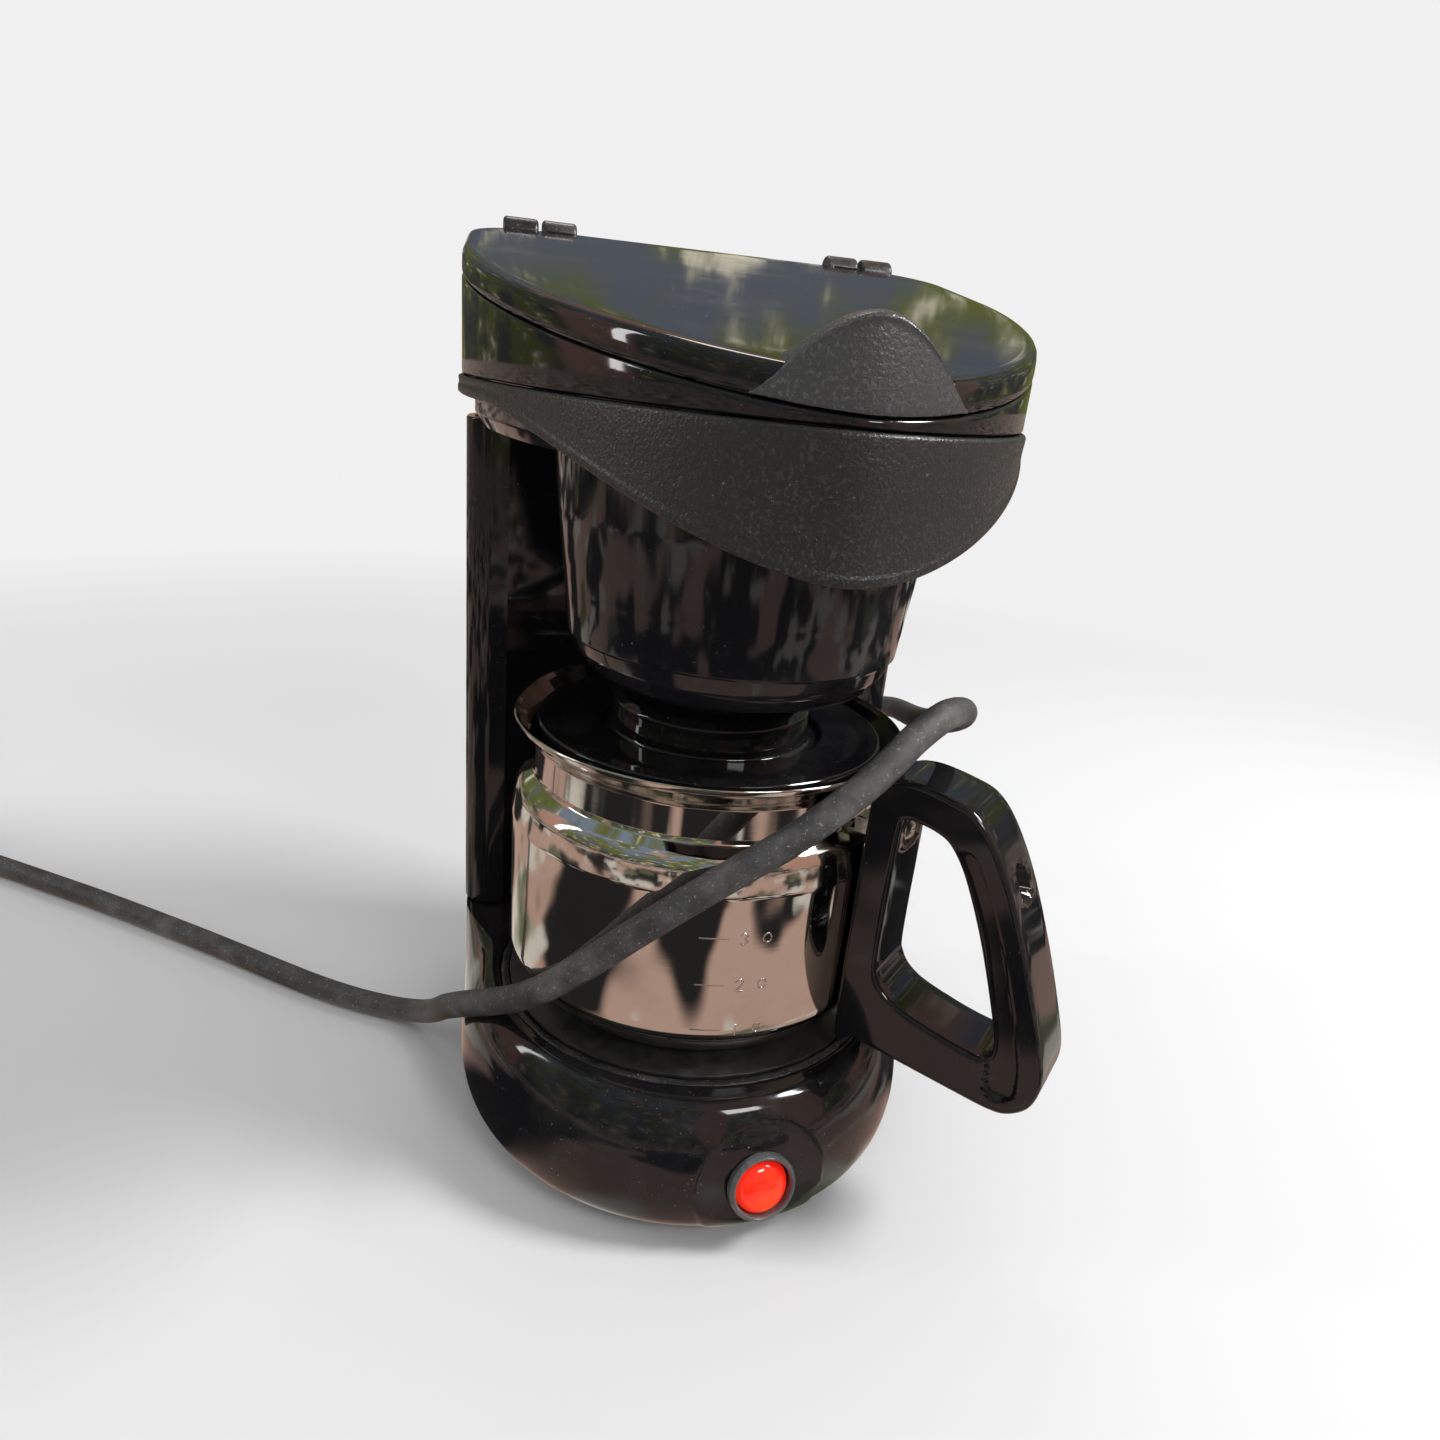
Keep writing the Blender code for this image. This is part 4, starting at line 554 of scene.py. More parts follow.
def press_panel(rings):
    """Moves points near the switch onto its flat disc, and into the switch's bore."""
    local = (rings - SWITCH_AT) @ SWITCH
    radius = np.hypot(local[..., 0], local[..., 1])
    near = local[..., 2] > -12
    plane = -1.0
    inside = np.clip((19.0 - radius) / 0.9 + 0.5, 0, 1)
    inside = inside * inside * (3 - 2 * inside)
    low = local[..., 2] < plane
    limit = np.where(low, np.minimum(plane, local[..., 2] + 1.0), plane)
    moved = local[..., 2] + (limit - local[..., 2]) * inside
    bore = np.clip((8.3 - radius) / 0.5 + 0.5, 0, 1)
    moved = moved + (-24.0 - moved) * bore
    local[..., 2] = np.where(near, moved, local[..., 2])
    return local @ SWITCH.T + SWITCH_AT


def make_base():
    """Bulging base with its flat switch disc, rim of the plate's well and thin wall."""
    outer = smooth_profile(BASE_PROFILE, 0.7)
    rings = [np.column_stack([base_line(a, 0.0, z > 23.9), np.full(len(base_line()), z)]) for a, z in outer]
    rings = list(press_panel(np.array(rings)))
    top = rings[-1]
    angle = np.arctan2(top[:, 1], top[:, 0])
    circle = np.stack([np.cos(angle), np.sin(angle)], 1)
    for share, drop in ((0.12, 0.15), (0.4, 0.25), (0.75, 0.25), (0.94, 0.25), (0.99, 0.35)):
        flat = top[:, :2] * (1 - share) + circle * 59.4 * share
        rings.append(np.column_stack([flat, np.full(len(flat), 44.7 + 0.1 - drop)]))
    for radius, z in ((59.3, 43.9), (59.3, 42.4)):
        rings.append(np.column_stack([circle * radius, np.full(len(circle), z)]))
    inner = [(a, z) for a, z in BASE_PROFILE[::-1] if z < 42]
    rings.append(np.column_stack([base_line(5.2, 2.5, True), np.full(len(circle), 42.2)]))
    low = [np.column_stack([base_line(a, 2.5, z > 23.9), np.full(len(circle), z)]) for a, z in inner]
    rings += low
    points, faces = grid(rings, loop=True)
    mesh_object("base_shell", points, faces, BLACK_BASE, "machine", ("base_housing",))


make_base()


# ------------------------------------------------------------------ tower
def tower_line(inset=0.0):
    """Tower outline: hollow front arc, small front corners, round back corners."""
    side, back = HALF_WIDTH - inset, BACK_Y - inset
    corner, small = max(CORNER - inset, 3.0), max(8.0 - inset, 2.0)
    centre, radius = -28.11, 90.11 + inset
    reach = min(math.sqrt(radius ** 2 - (40 + inset - centre) ** 2), side - small - 0.5)
    front = centre + math.sqrt(radius ** 2 - reach ** 2)
    edge = math.degrees(math.acos(reach / radius))
    hollow = bow((0, centre), radius, 90, edge, 40)
    tip = bow((side - small, front + small), small, -90, 0, 14)
    run = np.stack([np.full(6, side), np.linspace(front + small, back - corner, 8)[1:-1]], 1)
    turn = bow((side - corner, back - corner), corner, 0, 90, 18)
    flat = np.stack([np.linspace(side - corner, 0, 8)[1:], np.full(7, back)], 1)
    return both(np.vstack([hollow, tip, run, turn, flat]))


def make_tower():
    """Tower shell between base and head."""
    profile = fillet([(0.0, 45.0, 0.5), (0.0, 205.6, 0.5), (2.5, 205.6, 0.4), (2.5, 45.0, 0.4)], True)
    rings = loft_points(tower_line, profile)
    points, faces = grid(rings, loop=True)
    mesh_object("tower_shell", points, faces, BLACK, "machine", ("tower_housing",))


make_tower()


# ------------------------------------------------------------------ head
def seam(offset):
    """Height of the sloped seam plus an offset, as a height function."""
    return lambda z, line: 239.0 + 0.18 * line[:, 1] + offset


def make_head_ring():
    """Gloss ring of the head above the grained band, with its stepped-in lower wall."""
    rings = []
    for inset, z in fillet([(5.4, 206.0, 0.0), (3.4, 209.0, 1.5), (3.4, 217.8, 0.3), (0.0, 218.2, 0.5),
                            (0.0, 222.0, 0.0)]):
        line = head_line(inset)
        rings.append(np.column_stack([line, np.minimum(np.full(len(line), z), seam(-1.2)(0, line))]))
    for inset, offset in ((0.0, -0.9), (0.12, -0.45), (0.5, -0.18), (1.0, -0.15), (2.0, -0.15), (2.4, -0.3),
                          (2.5, -0.7)):
        line = head_line(inset)
        rings.append(np.column_stack([line, seam(offset)(0, line)]))
    for inset, z in ((2.5, 221.0), (5.9, 217.7), (5.9, 211.5), (7.9, 208.5), (7.9, 206.0)):
        line = head_line(inset)
        rings.append(np.column_stack([line, np.minimum(np.full(len(line), z), seam(-1.4)(0, line))]))
    points, faces = grid(rings, loop=True)
    mesh_object("head_ring", points, faces, BLACK, "machine", ("head_housing",))


def make_head_floor():
    """Floor of the head with the openings for the basket and the tank."""
    curve = bpy.data.curves.new("head_floor", "CURVE")
    curve.dimensions = "2D"
    curve.fill_mode = "BOTH"
    curve.extrude = 1.1 * MM
    curve.bevel_depth = 0.12 * MM
    outline = head_line(7.85)
    hole = bow((0, -16.7), 49.2, 0, 360, 97)[:-1]
    line = tower_line(7.0)
    for points in (outline, hole, line):
        spline = curve.splines.new("POLY")
        spline.points.add(len(points) - 1)
        spline.use_cyclic_u = True
        for at, (x, y) in zip(spline.points, points):
            at.co = ((x + AXIS[0]) * MM, (y + AXIS[1]) * MM, 0.0, 1.0)
    source = bpy.data.objects.new("floor_line", curve)
    bpy.context.scene.collection.objects.link(source)
    mesh = bpy.data.meshes.new_from_object(source.evaluated_get(bpy.context.evaluated_depsgraph_get()))
    bpy.data.objects.remove(source)
    mesh.transform(Matrix.Translation((0, 0, 207.25 * MM)))
    sharpen(mesh)
    mesh.materials.clear()
    mesh.materials.append(BLACK)
    obj = bpy.data.objects.new("head_floor", mesh)
    bpy.context.scene.collection.objects.link(obj)
    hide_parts("head_housing")
    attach(obj, "machine")


def knuckle(name, side, span, body, nodes, material):
    """One hinge knuckle: a rounded barrel."""
    low, high = span
    profile = fillet([(low, 1.6, 0.3), (low, 4.25, 1.2), (high, 4.25, 1.2), (high, 1.6, 0.3)], True)
    angles = dense(0, 2 * math.pi, 40)
    rings = []
    for x, radius in profile:
        rings.append(np.column_stack([np.full(40, side * x), 77.0 + radius * np.cos(angles),
                                      258.0 + radius * np.sin(angles)]))
    points, faces = grid(rings, loop=True)
    mesh_object(name, points, faces, material, body, nodes)


def block(name, corners_low, corners_high, material, body, nodes=()):
    """A small rounded foot: superellipse rings between two heights."""
    (x0, x1, y0, y1, z0), (x2, x3, y2, y3, z1) = corners_low, corners_high
    angles = dense(0, 2 * math.pi, 40)
    c, s = np.cos(angles), np.sin(angles)
    box = np.column_stack([np.sign(c) * np.abs(c) ** 0.35, np.sign(s) * np.abs(s) ** 0.35])
    rings = []
    for share, size in ((0, 0.93), (0.06, 1.0), (0.5, 1.0), (0.94, 1.0), (1, 0.93)):
        a = np.array([x0, x1, y0, y1, z0]) * (1 - share) + np.array([x2, x3, y2, y3, z1]) * share
        centre = np.array([(a[0] + a[1]) / 2, (a[2] + a[3]) / 2])
        half = np.array([(a[1] - a[0]) / 2, (a[3] - a[2]) / 2]) * size
        rings.append(np.column_stack([centre + box * half, np.full(40, a[4])]))
    points, faces = grid(rings)
    mesh_object(name, points, faces, material, body, nodes)


def make_hinges():
    """Both pairs of knuckles, the head's outside and the lid's inside, on their feet."""
    for side, word in ((-1, "left"), (1, "right")):
        knuckle("head_knuckle_" + word, side, (51.6, 62.2), "machine", ("head_housing",), SATIN)
        knuckle("lid_knuckle_" + word, side, (40.0, 50.6), "lid", ("lid",), SATIN)
        x0, x1 = sorted((side * 52.1, side * 61.7))
        block("head_hinge_foot_" + word, (x0, x1, 75.5, 78.7, 249.5), (x0, x1, 75.4, 78.8, 255.5), BLACK,
              "machine", ("head_housing",))
        x0, x1 = sorted((side * 40.5, side * 50.1))
        block("lid_hinge_foot_" + word, (x0, x1, 69.5, 74.8, 254.8), (x0, x1, 69.2, 75.0, 258.8), BLACK_TOP,
              "lid", ("lid",))


def make_band():
    """Grained band round the head: deep at the nose, tapering to the back corners, with a rolled lip."""
    line = head_line(0.0, count=90)
    half = line[:len(line) // 2 + 1]
    half = half[half[:, 1] < 66.5]
    half = half[half[:, 0] >= -1e-6]
    path = np.vstack([half[::-1][:-1] * np.array([-1, 1]), half])
    along = np.gradient(path, axis=0)
    along /= np.linalg.norm(along, axis=1)[:, None]
    out = np.column_stack([along[:, 1], -along[:, 0]])
    rings = []
    for xy, normal in zip(path, out):
        share = max((-25.0 - xy[1]) / 80.9, 0.0)
        depth = 5.0 + 22.0 * share ** 1.6
        low = 218.2 - depth
        tip = min(1.0, (66.5 - xy[1]) / 5.0)
        section = fillet([(-1.2, 217.7, 0.3), (1.0, 217.7, 0.9), (0.75, (217.7 + low) / 2 + 1.0, 6.0),
                          (0.75, low + 2.6, 0.6), (1.0, low + 1.9, 0.4), (1.0, low + 0.6, 0.5),
                          (0.2, low, 0.4), (-1.2, low, 0.3)], True, 0.5)
        section[:, 0] = np.where(section[:, 0] > 0, section[:, 0] * (0.4 + 0.6 * tip), section[:, 0])
        rings.append(np.column_stack([xy + normal * section[:, :1], section[:, 1]]))
    points, faces = grid(rings)
    mesh_object("grained_band", points, faces, GRAIN, "machine", ("textured_band",), 50)


def lid_line(inset=0.0):
    """Lid outline: the head's, cut short before the hinge."""
    return head_line(inset, back_inset=BACK_Y - 74.0 + inset)


def lid_rise(y):
    """Thickness of the lid at a place."""
    return 6.2 + 0.8 * (y + 105.9) / 184.9


def make_lid():
    """Sloped lid: soft upper edge, faintly crowned top, hollow underside."""
    rings = []
    edge_profile = ((0.9, 0, 0.16), (0.35, 0, 0.3), (0.08, 0, 0.8), (0.0, 0, 1.6), (0.05, 0.55, 0.3),
                    (0.25, 0.75, 0.2), (0.75, 0.89, 0.05), (1.5, 0.965, 0), (2.4, 0.99, 0), (4.0, 1, 0))
    for inset, share, offset in edge_profile:
        line = lid_line(inset)
        top = lid_rise(line[:, 1])
        level = 239.0 + 0.18 * line[:, 1] + share * top + offset
        rings.append(np.column_stack([line, level]))
    edge = lid_line(4.0)
    centre = np.array([0.0, 6.0])
    for keep in (0.9, 0.75, 0.55, 0.35, 0.15):
        line = centre + (edge - centre) * keep
        level = 239.0 + 0.18 * line[:, 1] + lid_rise(line[:, 1]) + 0.25 * (1 - keep ** 2)
        rings.append(np.column_stack([line, level]))
    middle = len(rings)
    for keep in (0.15, 0.5, 0.9):
        line = centre + (edge - centre) * keep
        level = 239.0 + 0.18 * line[:, 1] + lid_rise(line[:, 1]) - 2.4
        rings.append(np.column_stack([line, level]))
    for inset, offset in ((3.4, 3.6), (3.2, 0.8), (3.0, 0.16)):
        line = lid_line(inset)
        rings.append(np.column_stack([line, 239.0 + 0.18 * line[:, 1] + offset]))
    points, faces = grid(rings, loop=True)
    count = len(edge)
    a, b = (middle - 1) * count, middle * count
    cut = set(range(a, a + count)) | set(range(b, b + count))
    faces = [f for f in faces if not (set(f) <= cut)]
    points = np.vstack([points, [rings[middle - 1].mean(0), rings[middle].mean(0)]])
    high, low = len(points) - 2, len(points) - 1
    faces += [(high, a + i, a + (i + 1) % count) for i in range(count)]
    faces += [(low, b + (i + 1) % count, b + i) for i in range(count)]
    mesh_object("lid_shell", points, faces, BLACK_TOP, "lid", ("lid",))


def nose_front(x):
    """Front edge of the lid at a distance from the middle."""
    return 18.0 - 123.9 * (1 - (np.abs(x) / 71.8) ** 1.7) ** (1 / 1.7)


def make_thumb_grip():
    """Bell-shaped grip at the lid's nose: flush grained face, rounded crest, back falling into the lid."""
    across = np.linspace(-1.0, 1.0, 73)
    bell = np.clip(1 - np.abs(across) ** 2.0, 0, 1) ** 1.3
    x = 19.8 * across
    front = nose_front(x)
    low = 239.0 + 0.18 * front + 0.4
    crest = low + 0.3 + 15.6 * bell
    rows = [np.column_stack([x, front + 1.2, low]), np.column_stack([x, front - 0.1, low + 0.05])]
    for rise in np.linspace(0.06, 1.0, 12):
        rows.append(np.column_stack([x, front - 0.3 + rise ** 2 * bell,
                                     low + (crest - 1.3 * bell - low) * rise]))
    for turn in np.linspace(0.2, 1.0, 6) * math.pi / 2:
        rows.append(np.column_stack([x, front + 0.7 * bell - 0.3 + 1.5 * (1 - math.cos(turn)),
                                     crest - 1.3 * bell * (1 - math.sin(turn))]))
    for run in np.linspace(0.05, 1.0, 20):
        y = front + 1.2 + 0.7 * bell + 24.0 * run * (0.3 + 0.7 * bell)
        top = 239.0 + 0.18 * y + 6.1
        fall = 0.5 * (1 + math.cos(math.pi * run))
        z = top - 0.6 + (crest - (239.0 + 0.18 * (front + 1.2) + 5.5)) * fall
        rows.append(np.column_stack([x, y, np.maximum(z, top - 2.0)]))
    rows.append(np.column_stack([x, rows[-1][:, 1], 239.0 + 0.18 * rows[-1][:, 1] + 4.0]))
    rows.append(np.column_stack([x, front + 4.0, 239.0 + 0.18 * front + 4.4]))
    rings = np.array(rows)
    count = len(across)
    faces = []
    for r in range(len(rings)):
        a, b = r * count, ((r + 1) % len(rings)) * count
        faces += [(a + i, a + i + 1, b + i + 1, b + i) for i in range(count - 1)]
    faces.append(tuple(r * count for r in range(len(rings))))
    faces.append(tuple((len(rings) - 1 - r) * count + count - 1 for r in range(len(rings))))
    # the grip's grain colour carries a painted highlight
    mesh_object("thumb_grip", rings.reshape(-1, 3), faces, GRIP_GREY_AND_PAINTED_HIGHLIGHT, "lid", ("lid",), 60)


make_head_ring()
make_head_floor()
make_hinges()
make_band()
make_lid()
make_thumb_grip()


# ------------------------------------------------------------------ basket funnel
def make_funnel():
    """Gloss basket housing under the head, with a fine step near its foot."""
    corners = [(52.2, 210.6, 0.4), (52.2, 208.85, 0.3), (48.8, 208.8, 0.3), (47.2, 190.0, 60.0),
               (45.0, 171.7, 60.0), (43.8, 159.9, 0.5), (43.1, 159.1, 0.4), (41.5, 155.3, 6.0),
               (38.4, 151.3, 3.0), (36.5, 149.75, 1.2), (13.0, 149.7, 0.4), (13.0, 151.9, 0.4),
               (35.9, 151.9, 1.5), (39.5, 156.7, 3.0), (41.4, 159.7, 2.0), (42.6, 171.7, 30.0),
               (45.0, 190.0, 30.0), (46.6, 210.6, 0.5)]
    points, faces = turned(corners, (0, -16.7), 144)
    mesh_object("funnel_shell", points, faces, BLACK, "machine", ("basket_funnel",))


make_funnel()


def make_spring():
    """Drip stop's coil spring, drawn at one length; the real one shortens as the plunger lifts."""
    lo, hi = (np.array(corner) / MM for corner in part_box("drip_stop_spring"))
    centre, wire, turns = (lo + hi) / 2, 0.76, 5
    radius = (hi[0] - lo[0]) / 2 - 0.8
    share = np.linspace(0, 1, 40 * turns)
    angles = 2 * math.pi * turns * share
    points = np.column_stack([centre[0] + radius * np.cos(angles), centre[1] + radius * np.sin(angles),
                              lo[2] + 0.85 + (hi[2] - lo[2] - 1.7) * share])
    skin, faces = swept(points, wire, 12)
    obj = mesh_object("drip_spring", skin * MM, faces, NODE_LOOKS["steel"], "basket", ("drip_stop_spring",),
                      60, None)
    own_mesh(obj)


make_spring()


# ------------------------------------------------------------------ carafe
def vessel_profile():
    """Carafe wall: foot, belly, shoulder, neck and flared rolled rim, outside then inside."""
    outer = [(1.0, 47.3, 0), (42.0, 47.3, 2.0), (44.0, 47.25, 2.0), (50.0, 48.6, 8.0),
             (56.8, 57.0, 12.0), (56.8, 101.0, 9.0), (55.4, 109.6, 7.0), (51.0, 113.2, 1.0),
             (50.6, 114.4, 0.8), (50.6, 122.6, 0.8), (52.4, 125.2, 3.0), (56.0, 129.0, 2.0),
             (56.7, 130.5, 0.4), (56.1, 130.95, 0.3)]
    inner = [(55.2, 129.4, 1.0), (51.7, 125.6, 3.0), (49.8, 122.9, 0.8), (49.8, 114.2, 0.8),
             (50.4, 112.6, 1.0), (54.5, 109.2, 6.0), (55.9, 101.0, 8.0), (55.9, 57.4, 11.0),
             (49.6, 49.6, 7.0), (43.0, 48.25, 0), (1.0, 48.25, 0)]
    return outer, inner


def spout(points):
    """Pulls the rim out into a pouring lip."""
    angle = math.radians(130.0)
    near = np.cos(np.arctan2(points[:, 1], points[:, 0]) - angle)
    lift = np.clip(points[:, 2] - 125.0, 0, None) / 6
    pull = np.clip(near - 0.9, 0, None) / 0.1 * lift * 2.4
    points[:, 0] += math.cos(angle) * pull
    points[:, 1] += math.sin(angle) * pull
    return points


def make_vessel():
    """Polished steel vessel."""
    outer, inner = vessel_profile()
    points, faces = turned(outer + inner, (0, 0), 192, closed=True, step=0.07)
    mesh_object("carafe_vessel", spout(points), faces, STEEL, "carafe", ("carafe_body",), 50)


DIGITS = {1: [[(0.1, 0), (0.1, 1)]],
          2: [[(-0.3, 0.8), (-0.1, 1), (0.15, 1), (0.3, 0.8), (0.25, 0.55), (-0.3, 0), (0.32, 0)]],
          3: [[(-0.3, 0.85), (0, 1), (0.28, 0.8), (0.05, 0.52), (0.3, 0.25), (0, 0), (-0.3, 0.15)]]}


def make_marks():
    """Raised level lines with a numeral beside each, on the belly of the vessel."""
    all_points, all_faces = [], []
    first = math.radians(-88.5)
    for number, height in ((1, 60.5), (2, 74.6), (3, 88.8)):
        lines = [[(x, 0.5) for x in np.linspace(-11, -3.0, 14)]]
        lines += [[(px * 3.6 + 1.0, py * 3.4 - 1.4) for px, py in stroke] for stroke in DIGITS[number]]
        lines += [[(7.4 + 1.2 * math.cos(a), 0.3 + 1.4 * math.sin(a)) for a in np.linspace(0, 6.0, 9)]]
        for line in lines:
            track = []
            for (u0, v0), (u1, v1) in zip(line, line[1:]):
                for share in (0.0, 0.5):
                    track.append((u0 + (u1 - u0) * share, v0 + (v1 - v0) * share))
            track.append(line[-1])
            path = []
            for u, v in track:
                angle = first + u / 56.8
                path.append((56.62 * math.cos(angle), 56.62 * math.sin(angle), height + v))
            points, faces = swept(path, 0.30, 8)
            start = sum(len(p) for p in all_points)
            all_points.append(points)
            all_faces += [tuple(i + start for i in f) for f in faces]
    mesh_object("level_marks", np.vstack(all_points), all_faces, STEEL, "carafe", ("carafe_body",),
                60)


def make_cover():
    """Carafe lid: skirt, flat flange, deep ring, raised hub with its centre button."""
    corners = [(0.5, 141.15, 0), (5.2, 141.15, 0.8), (6.4, 139.9, 0.5), (11.6, 139.3, 0.8),
               (13.2, 140.95, 0.7), (18.6, 140.95, 1.0), (19.8, 138.0, 1.0), (26.6, 137.6, 2.0),
               (28.6, 135.8, 1.2), (29.0, 127.2, 1.4), (31.8, 127.0, 1.4), (33.2, 129.0, 1.0),
               (44.0, 128.3, 4.0), (49.6, 129.5, 0.6), (50.2, 128.9, 0.4), (50.0, 126.6, 0.8),
               (49.0, 124.4, 0.8), (49.0, 113.7, 0.3), (47.4, 113.7, 0.3), (47.4, 124.6, 0.5),
               (31.0, 124.6, 1.0), (26.6, 126.0, 1.0), (26.4, 134.6, 1.0), (17.0, 135.6, 0.5),
               (0.5, 136.4, 0)]
    points, faces = turned(corners, (0, 0), 128, closed=True)
    mesh_object("carafe_cover", points, faces, BLACK_TOP, "carafe_lid", ("carafe_lid",), 45)


make_vessel()
make_marks()
make_cover()

# ------------------------------------------------------------------ handle
OUT = np.array([math.cos(math.radians(-43.0)), math.sin(math.radians(-43.0)), 0.0])
SIDE = np.array([-OUT[1], OUT[0], 0.0])
OUTER_LINE = ((57.3, 126.0), (61.0, 131.0), (68.0, 132.5), (78.0, 131.2), (84.6, 129.0), (90.6, 122.8),
              (97.5, 111.0), (104.5, 95.0), (110.5, 79.0), (114.8, 65.5), (115.2, 59.0), (113.4, 53.0),
              (109.0, 49.0), (104.0, 47.9), (94.0, 48.6), (76.0, 50.4), (63.0, 51.8), (57.3, 54.0))
INNER_LINE = ((66.4, 119.0), (67.8, 121.4), (70.4, 121.8), (77.0, 120.4), (81.0, 117.6), (85.6, 110.6),
              (91.6, 97.2), (97.0, 82.6), (100.6, 71.4), (101.3, 66.4), (100.0, 63.4), (96.8, 62.6),
              (88.0, 63.6), (75.6, 66.6), (70.0, 69.6), (67.2, 73.4), (66.3, 78.0), (66.2, 98.0))
SLOT_HALF, SLOT_SINK = 4.0, 1.5
DIMPLE_Z, SCREW_Z = 110.4, 115.0
SLOT_LINE = ((84.6, 114.2), (90.2, 104.0), (95.6, 91.6), (100.6, 77.6), (104.6, 63.6), (105.4, 56.4))


def closed_curve(points, count):
    """Evenly spaced points on the smooth closed curve through given points."""
    given = np.array(points, float)
    size = len(given)
    share = np.linspace(0.0, 1.0, 16, endpoint=False)[:, None]
    fine = []
    for i in range(size):
        a, b, c, d = given[i - 1], given[i], given[(i + 1) % size], given[(i + 2) % size]
        fine.append(0.5 * (2 * b + (c - a) * share + (2 * a - 5 * b + 4 * c - d) * share ** 2
                           + (3 * b - a - 3 * c + d) * share ** 3))
    fine = np.vstack([*fine, fine[0][:1]])
    run = np.concatenate([[0.0], np.cumsum(np.linalg.norm(np.diff(fine, axis=0), axis=1))])
    marks = np.linspace(0, run[-1], count, endpoint=False)
    return np.stack([np.interp(marks, run, fine[:, k]) for k in range(2)], 1)


def distance_to_line(points, line):
    """Distance from points (N, 2) to a polyline."""
    line = np.array(line, float)
    best = np.full(len(points), 1e9)
    for a, b in zip(line, line[1:]):
        way = b - a
        share = np.clip(((points - a) @ way) / (way @ way), 0, 1)
        best = np.minimum(best, np.linalg.norm(points - a - share[:, None] * way, axis=1))
    return best


def make_handle():
    """Handle: sides spanned between inner and outer line, rounded edges, long slots and a dimple."""
    count = 260
    outer = closed_curve(OUTER_LINE, 720)
    inner = closed_curve(INNER_LINE, 720)
    centre = np.array([82.0, 92.0])
    angles = dense(-math.pi, math.pi, count)

    def at_angle(line):
        """The line's points at the loop's even angles about its middle."""
        turn = np.arctan2(line[:, 1] - centre[1], line[:, 0] - centre[0])
        order = np.argsort(turn)
        turn, ordered = turn[order], line[order]
        turn = np.concatenate([[turn[-1] - 2 * math.pi], turn, [turn[0] + 2 * math.pi]])
        ordered = np.vstack([ordered[-1:], ordered, ordered[:1]])
        return np.stack([np.interp(angles, turn, ordered[:, k]) for k in range(2)], 1)

    far, near = at_angle(outer), at_angle(inner)
    half, soft = 10.4, 1.5
    width = np.linalg.norm(far - near, axis=1)
    way = (far - near) / width[:, None]

    def layer(distance, across):
        """One loop of the side at distances out from the inner line, at a distance from the mid plane."""
        flat = near + way * distance[:, None]
        return np.column_stack([flat, np.full(count, across)])

    level = np.zeros(count)
    loops = []
    for turn in np.linspace(0, math.pi / 2, 6):
        loops.append(layer(level + soft * (1 - math.cos(turn)), half - soft + soft * math.sin(turn)))
    for share in np.linspace(0, 1, 24)[1:-1]:
        side = layer(soft + (width - 2 * soft) * share, half)
        gap = distance_to_line(side[:, :2], SLOT_LINE)
        press = np.clip((SLOT_HALF - gap) / 0.8 + 0.5, 0, 1)
        side[:, 2] -= SLOT_SINK * press * press * (3 - 2 * press)
        loops.append(side)
    for turn in np.linspace(math.pi / 2, 0, 6):
        loops.append(layer(width - soft * (1 - math.cos(turn)), half - soft + soft * math.sin(turn)))
    upper = np.array(loops)
    lower = upper[::-1].copy()
    lower[:, :, 2] *= -1
    rows = (6.0, 4.0, 2.5, 1.2, 0.0, -1.2, -2.5, -4.0, -6.0)
    grip = [np.column_stack([far, np.full(count, y)]) for y in rows]
    palm = [np.column_stack([near, np.full(count, y)]) for y in (-6.0, -3.0, 0.0, 3.0, 6.0)]
    rings = np.array([*upper, *grip, *lower, *palm])
    s, y, z = rings[..., 0], rings[..., 2], rings[..., 1]
    dimple = np.hypot((z - DIMPLE_Z) / 1.25, y)
    hole = np.clip((3.5 - dimple) / 0.9 + 0.5, 0, 1) * (s > 92)
    s = s - 3.4 * hole * hole * (3 - 2 * hole)
    pit = np.clip((4.4 - np.hypot(z - SCREW_Z, y)) / 0.8 + 0.5, 0, 1) * (s < 69) * (s > 60)
    s = s - 1.9 * pit
    belly = np.sqrt(57.15 ** 2 - y ** 2)
    rim = np.sqrt(57.6 ** 2 - y ** 2)
    s = np.where(s < 64, np.maximum(s, np.where(z > 121.9, rim, belly)), s)
    points = s[..., None] * OUT + y[..., None] * SIDE + z[..., None] * np.array([0, 0, 1.0])
    skin, faces = grid(points, loop=True)
    mesh_object("handle_shell", skin, faces, BLACK_CLEAN, "carafe", ("carafe_handle",), 40)


def make_screw():
    """Pan-head screw with a cross slot, in its pit."""
    corners = [(0.02, 2.3, 0), (1.9, 2.1, 0.8), (3.1, 1.1, 0.5), (3.15, 0.3, 0.2), (0.02, 0.3, 0)]
    points, faces = turned(corners, (0, 0), 48, closed=False)
    radius = np.hypot(points[:, 0], points[:, 1])
    arm = np.minimum(np.abs(points[:, 0]), np.abs(points[:, 1])) < 0.35
    cross = arm & (radius < 1.9) & (points[:, 2] > 1)
    points[:, 2] -= 0.8 * cross
    up = np.array([0, 0, 1.0])
    skin = OUT * 64.5 + points[:, 2:3] * OUT + points[:, :1] * SIDE + points[:, 1:2] * up + SCREW_Z * up
    mesh_object("handle_screw_head", skin, faces, NODE_LOOKS["steel"], "carafe", ("handle_screw",),
                50)


make_handle()
make_screw()


# ------------------------------------------------------------------ switch
def at_switch(points):
    """Points drawn about the switch, in millimetres, to the row frame."""
    return place(points @ SWITCH.T + SWITCH_AT)


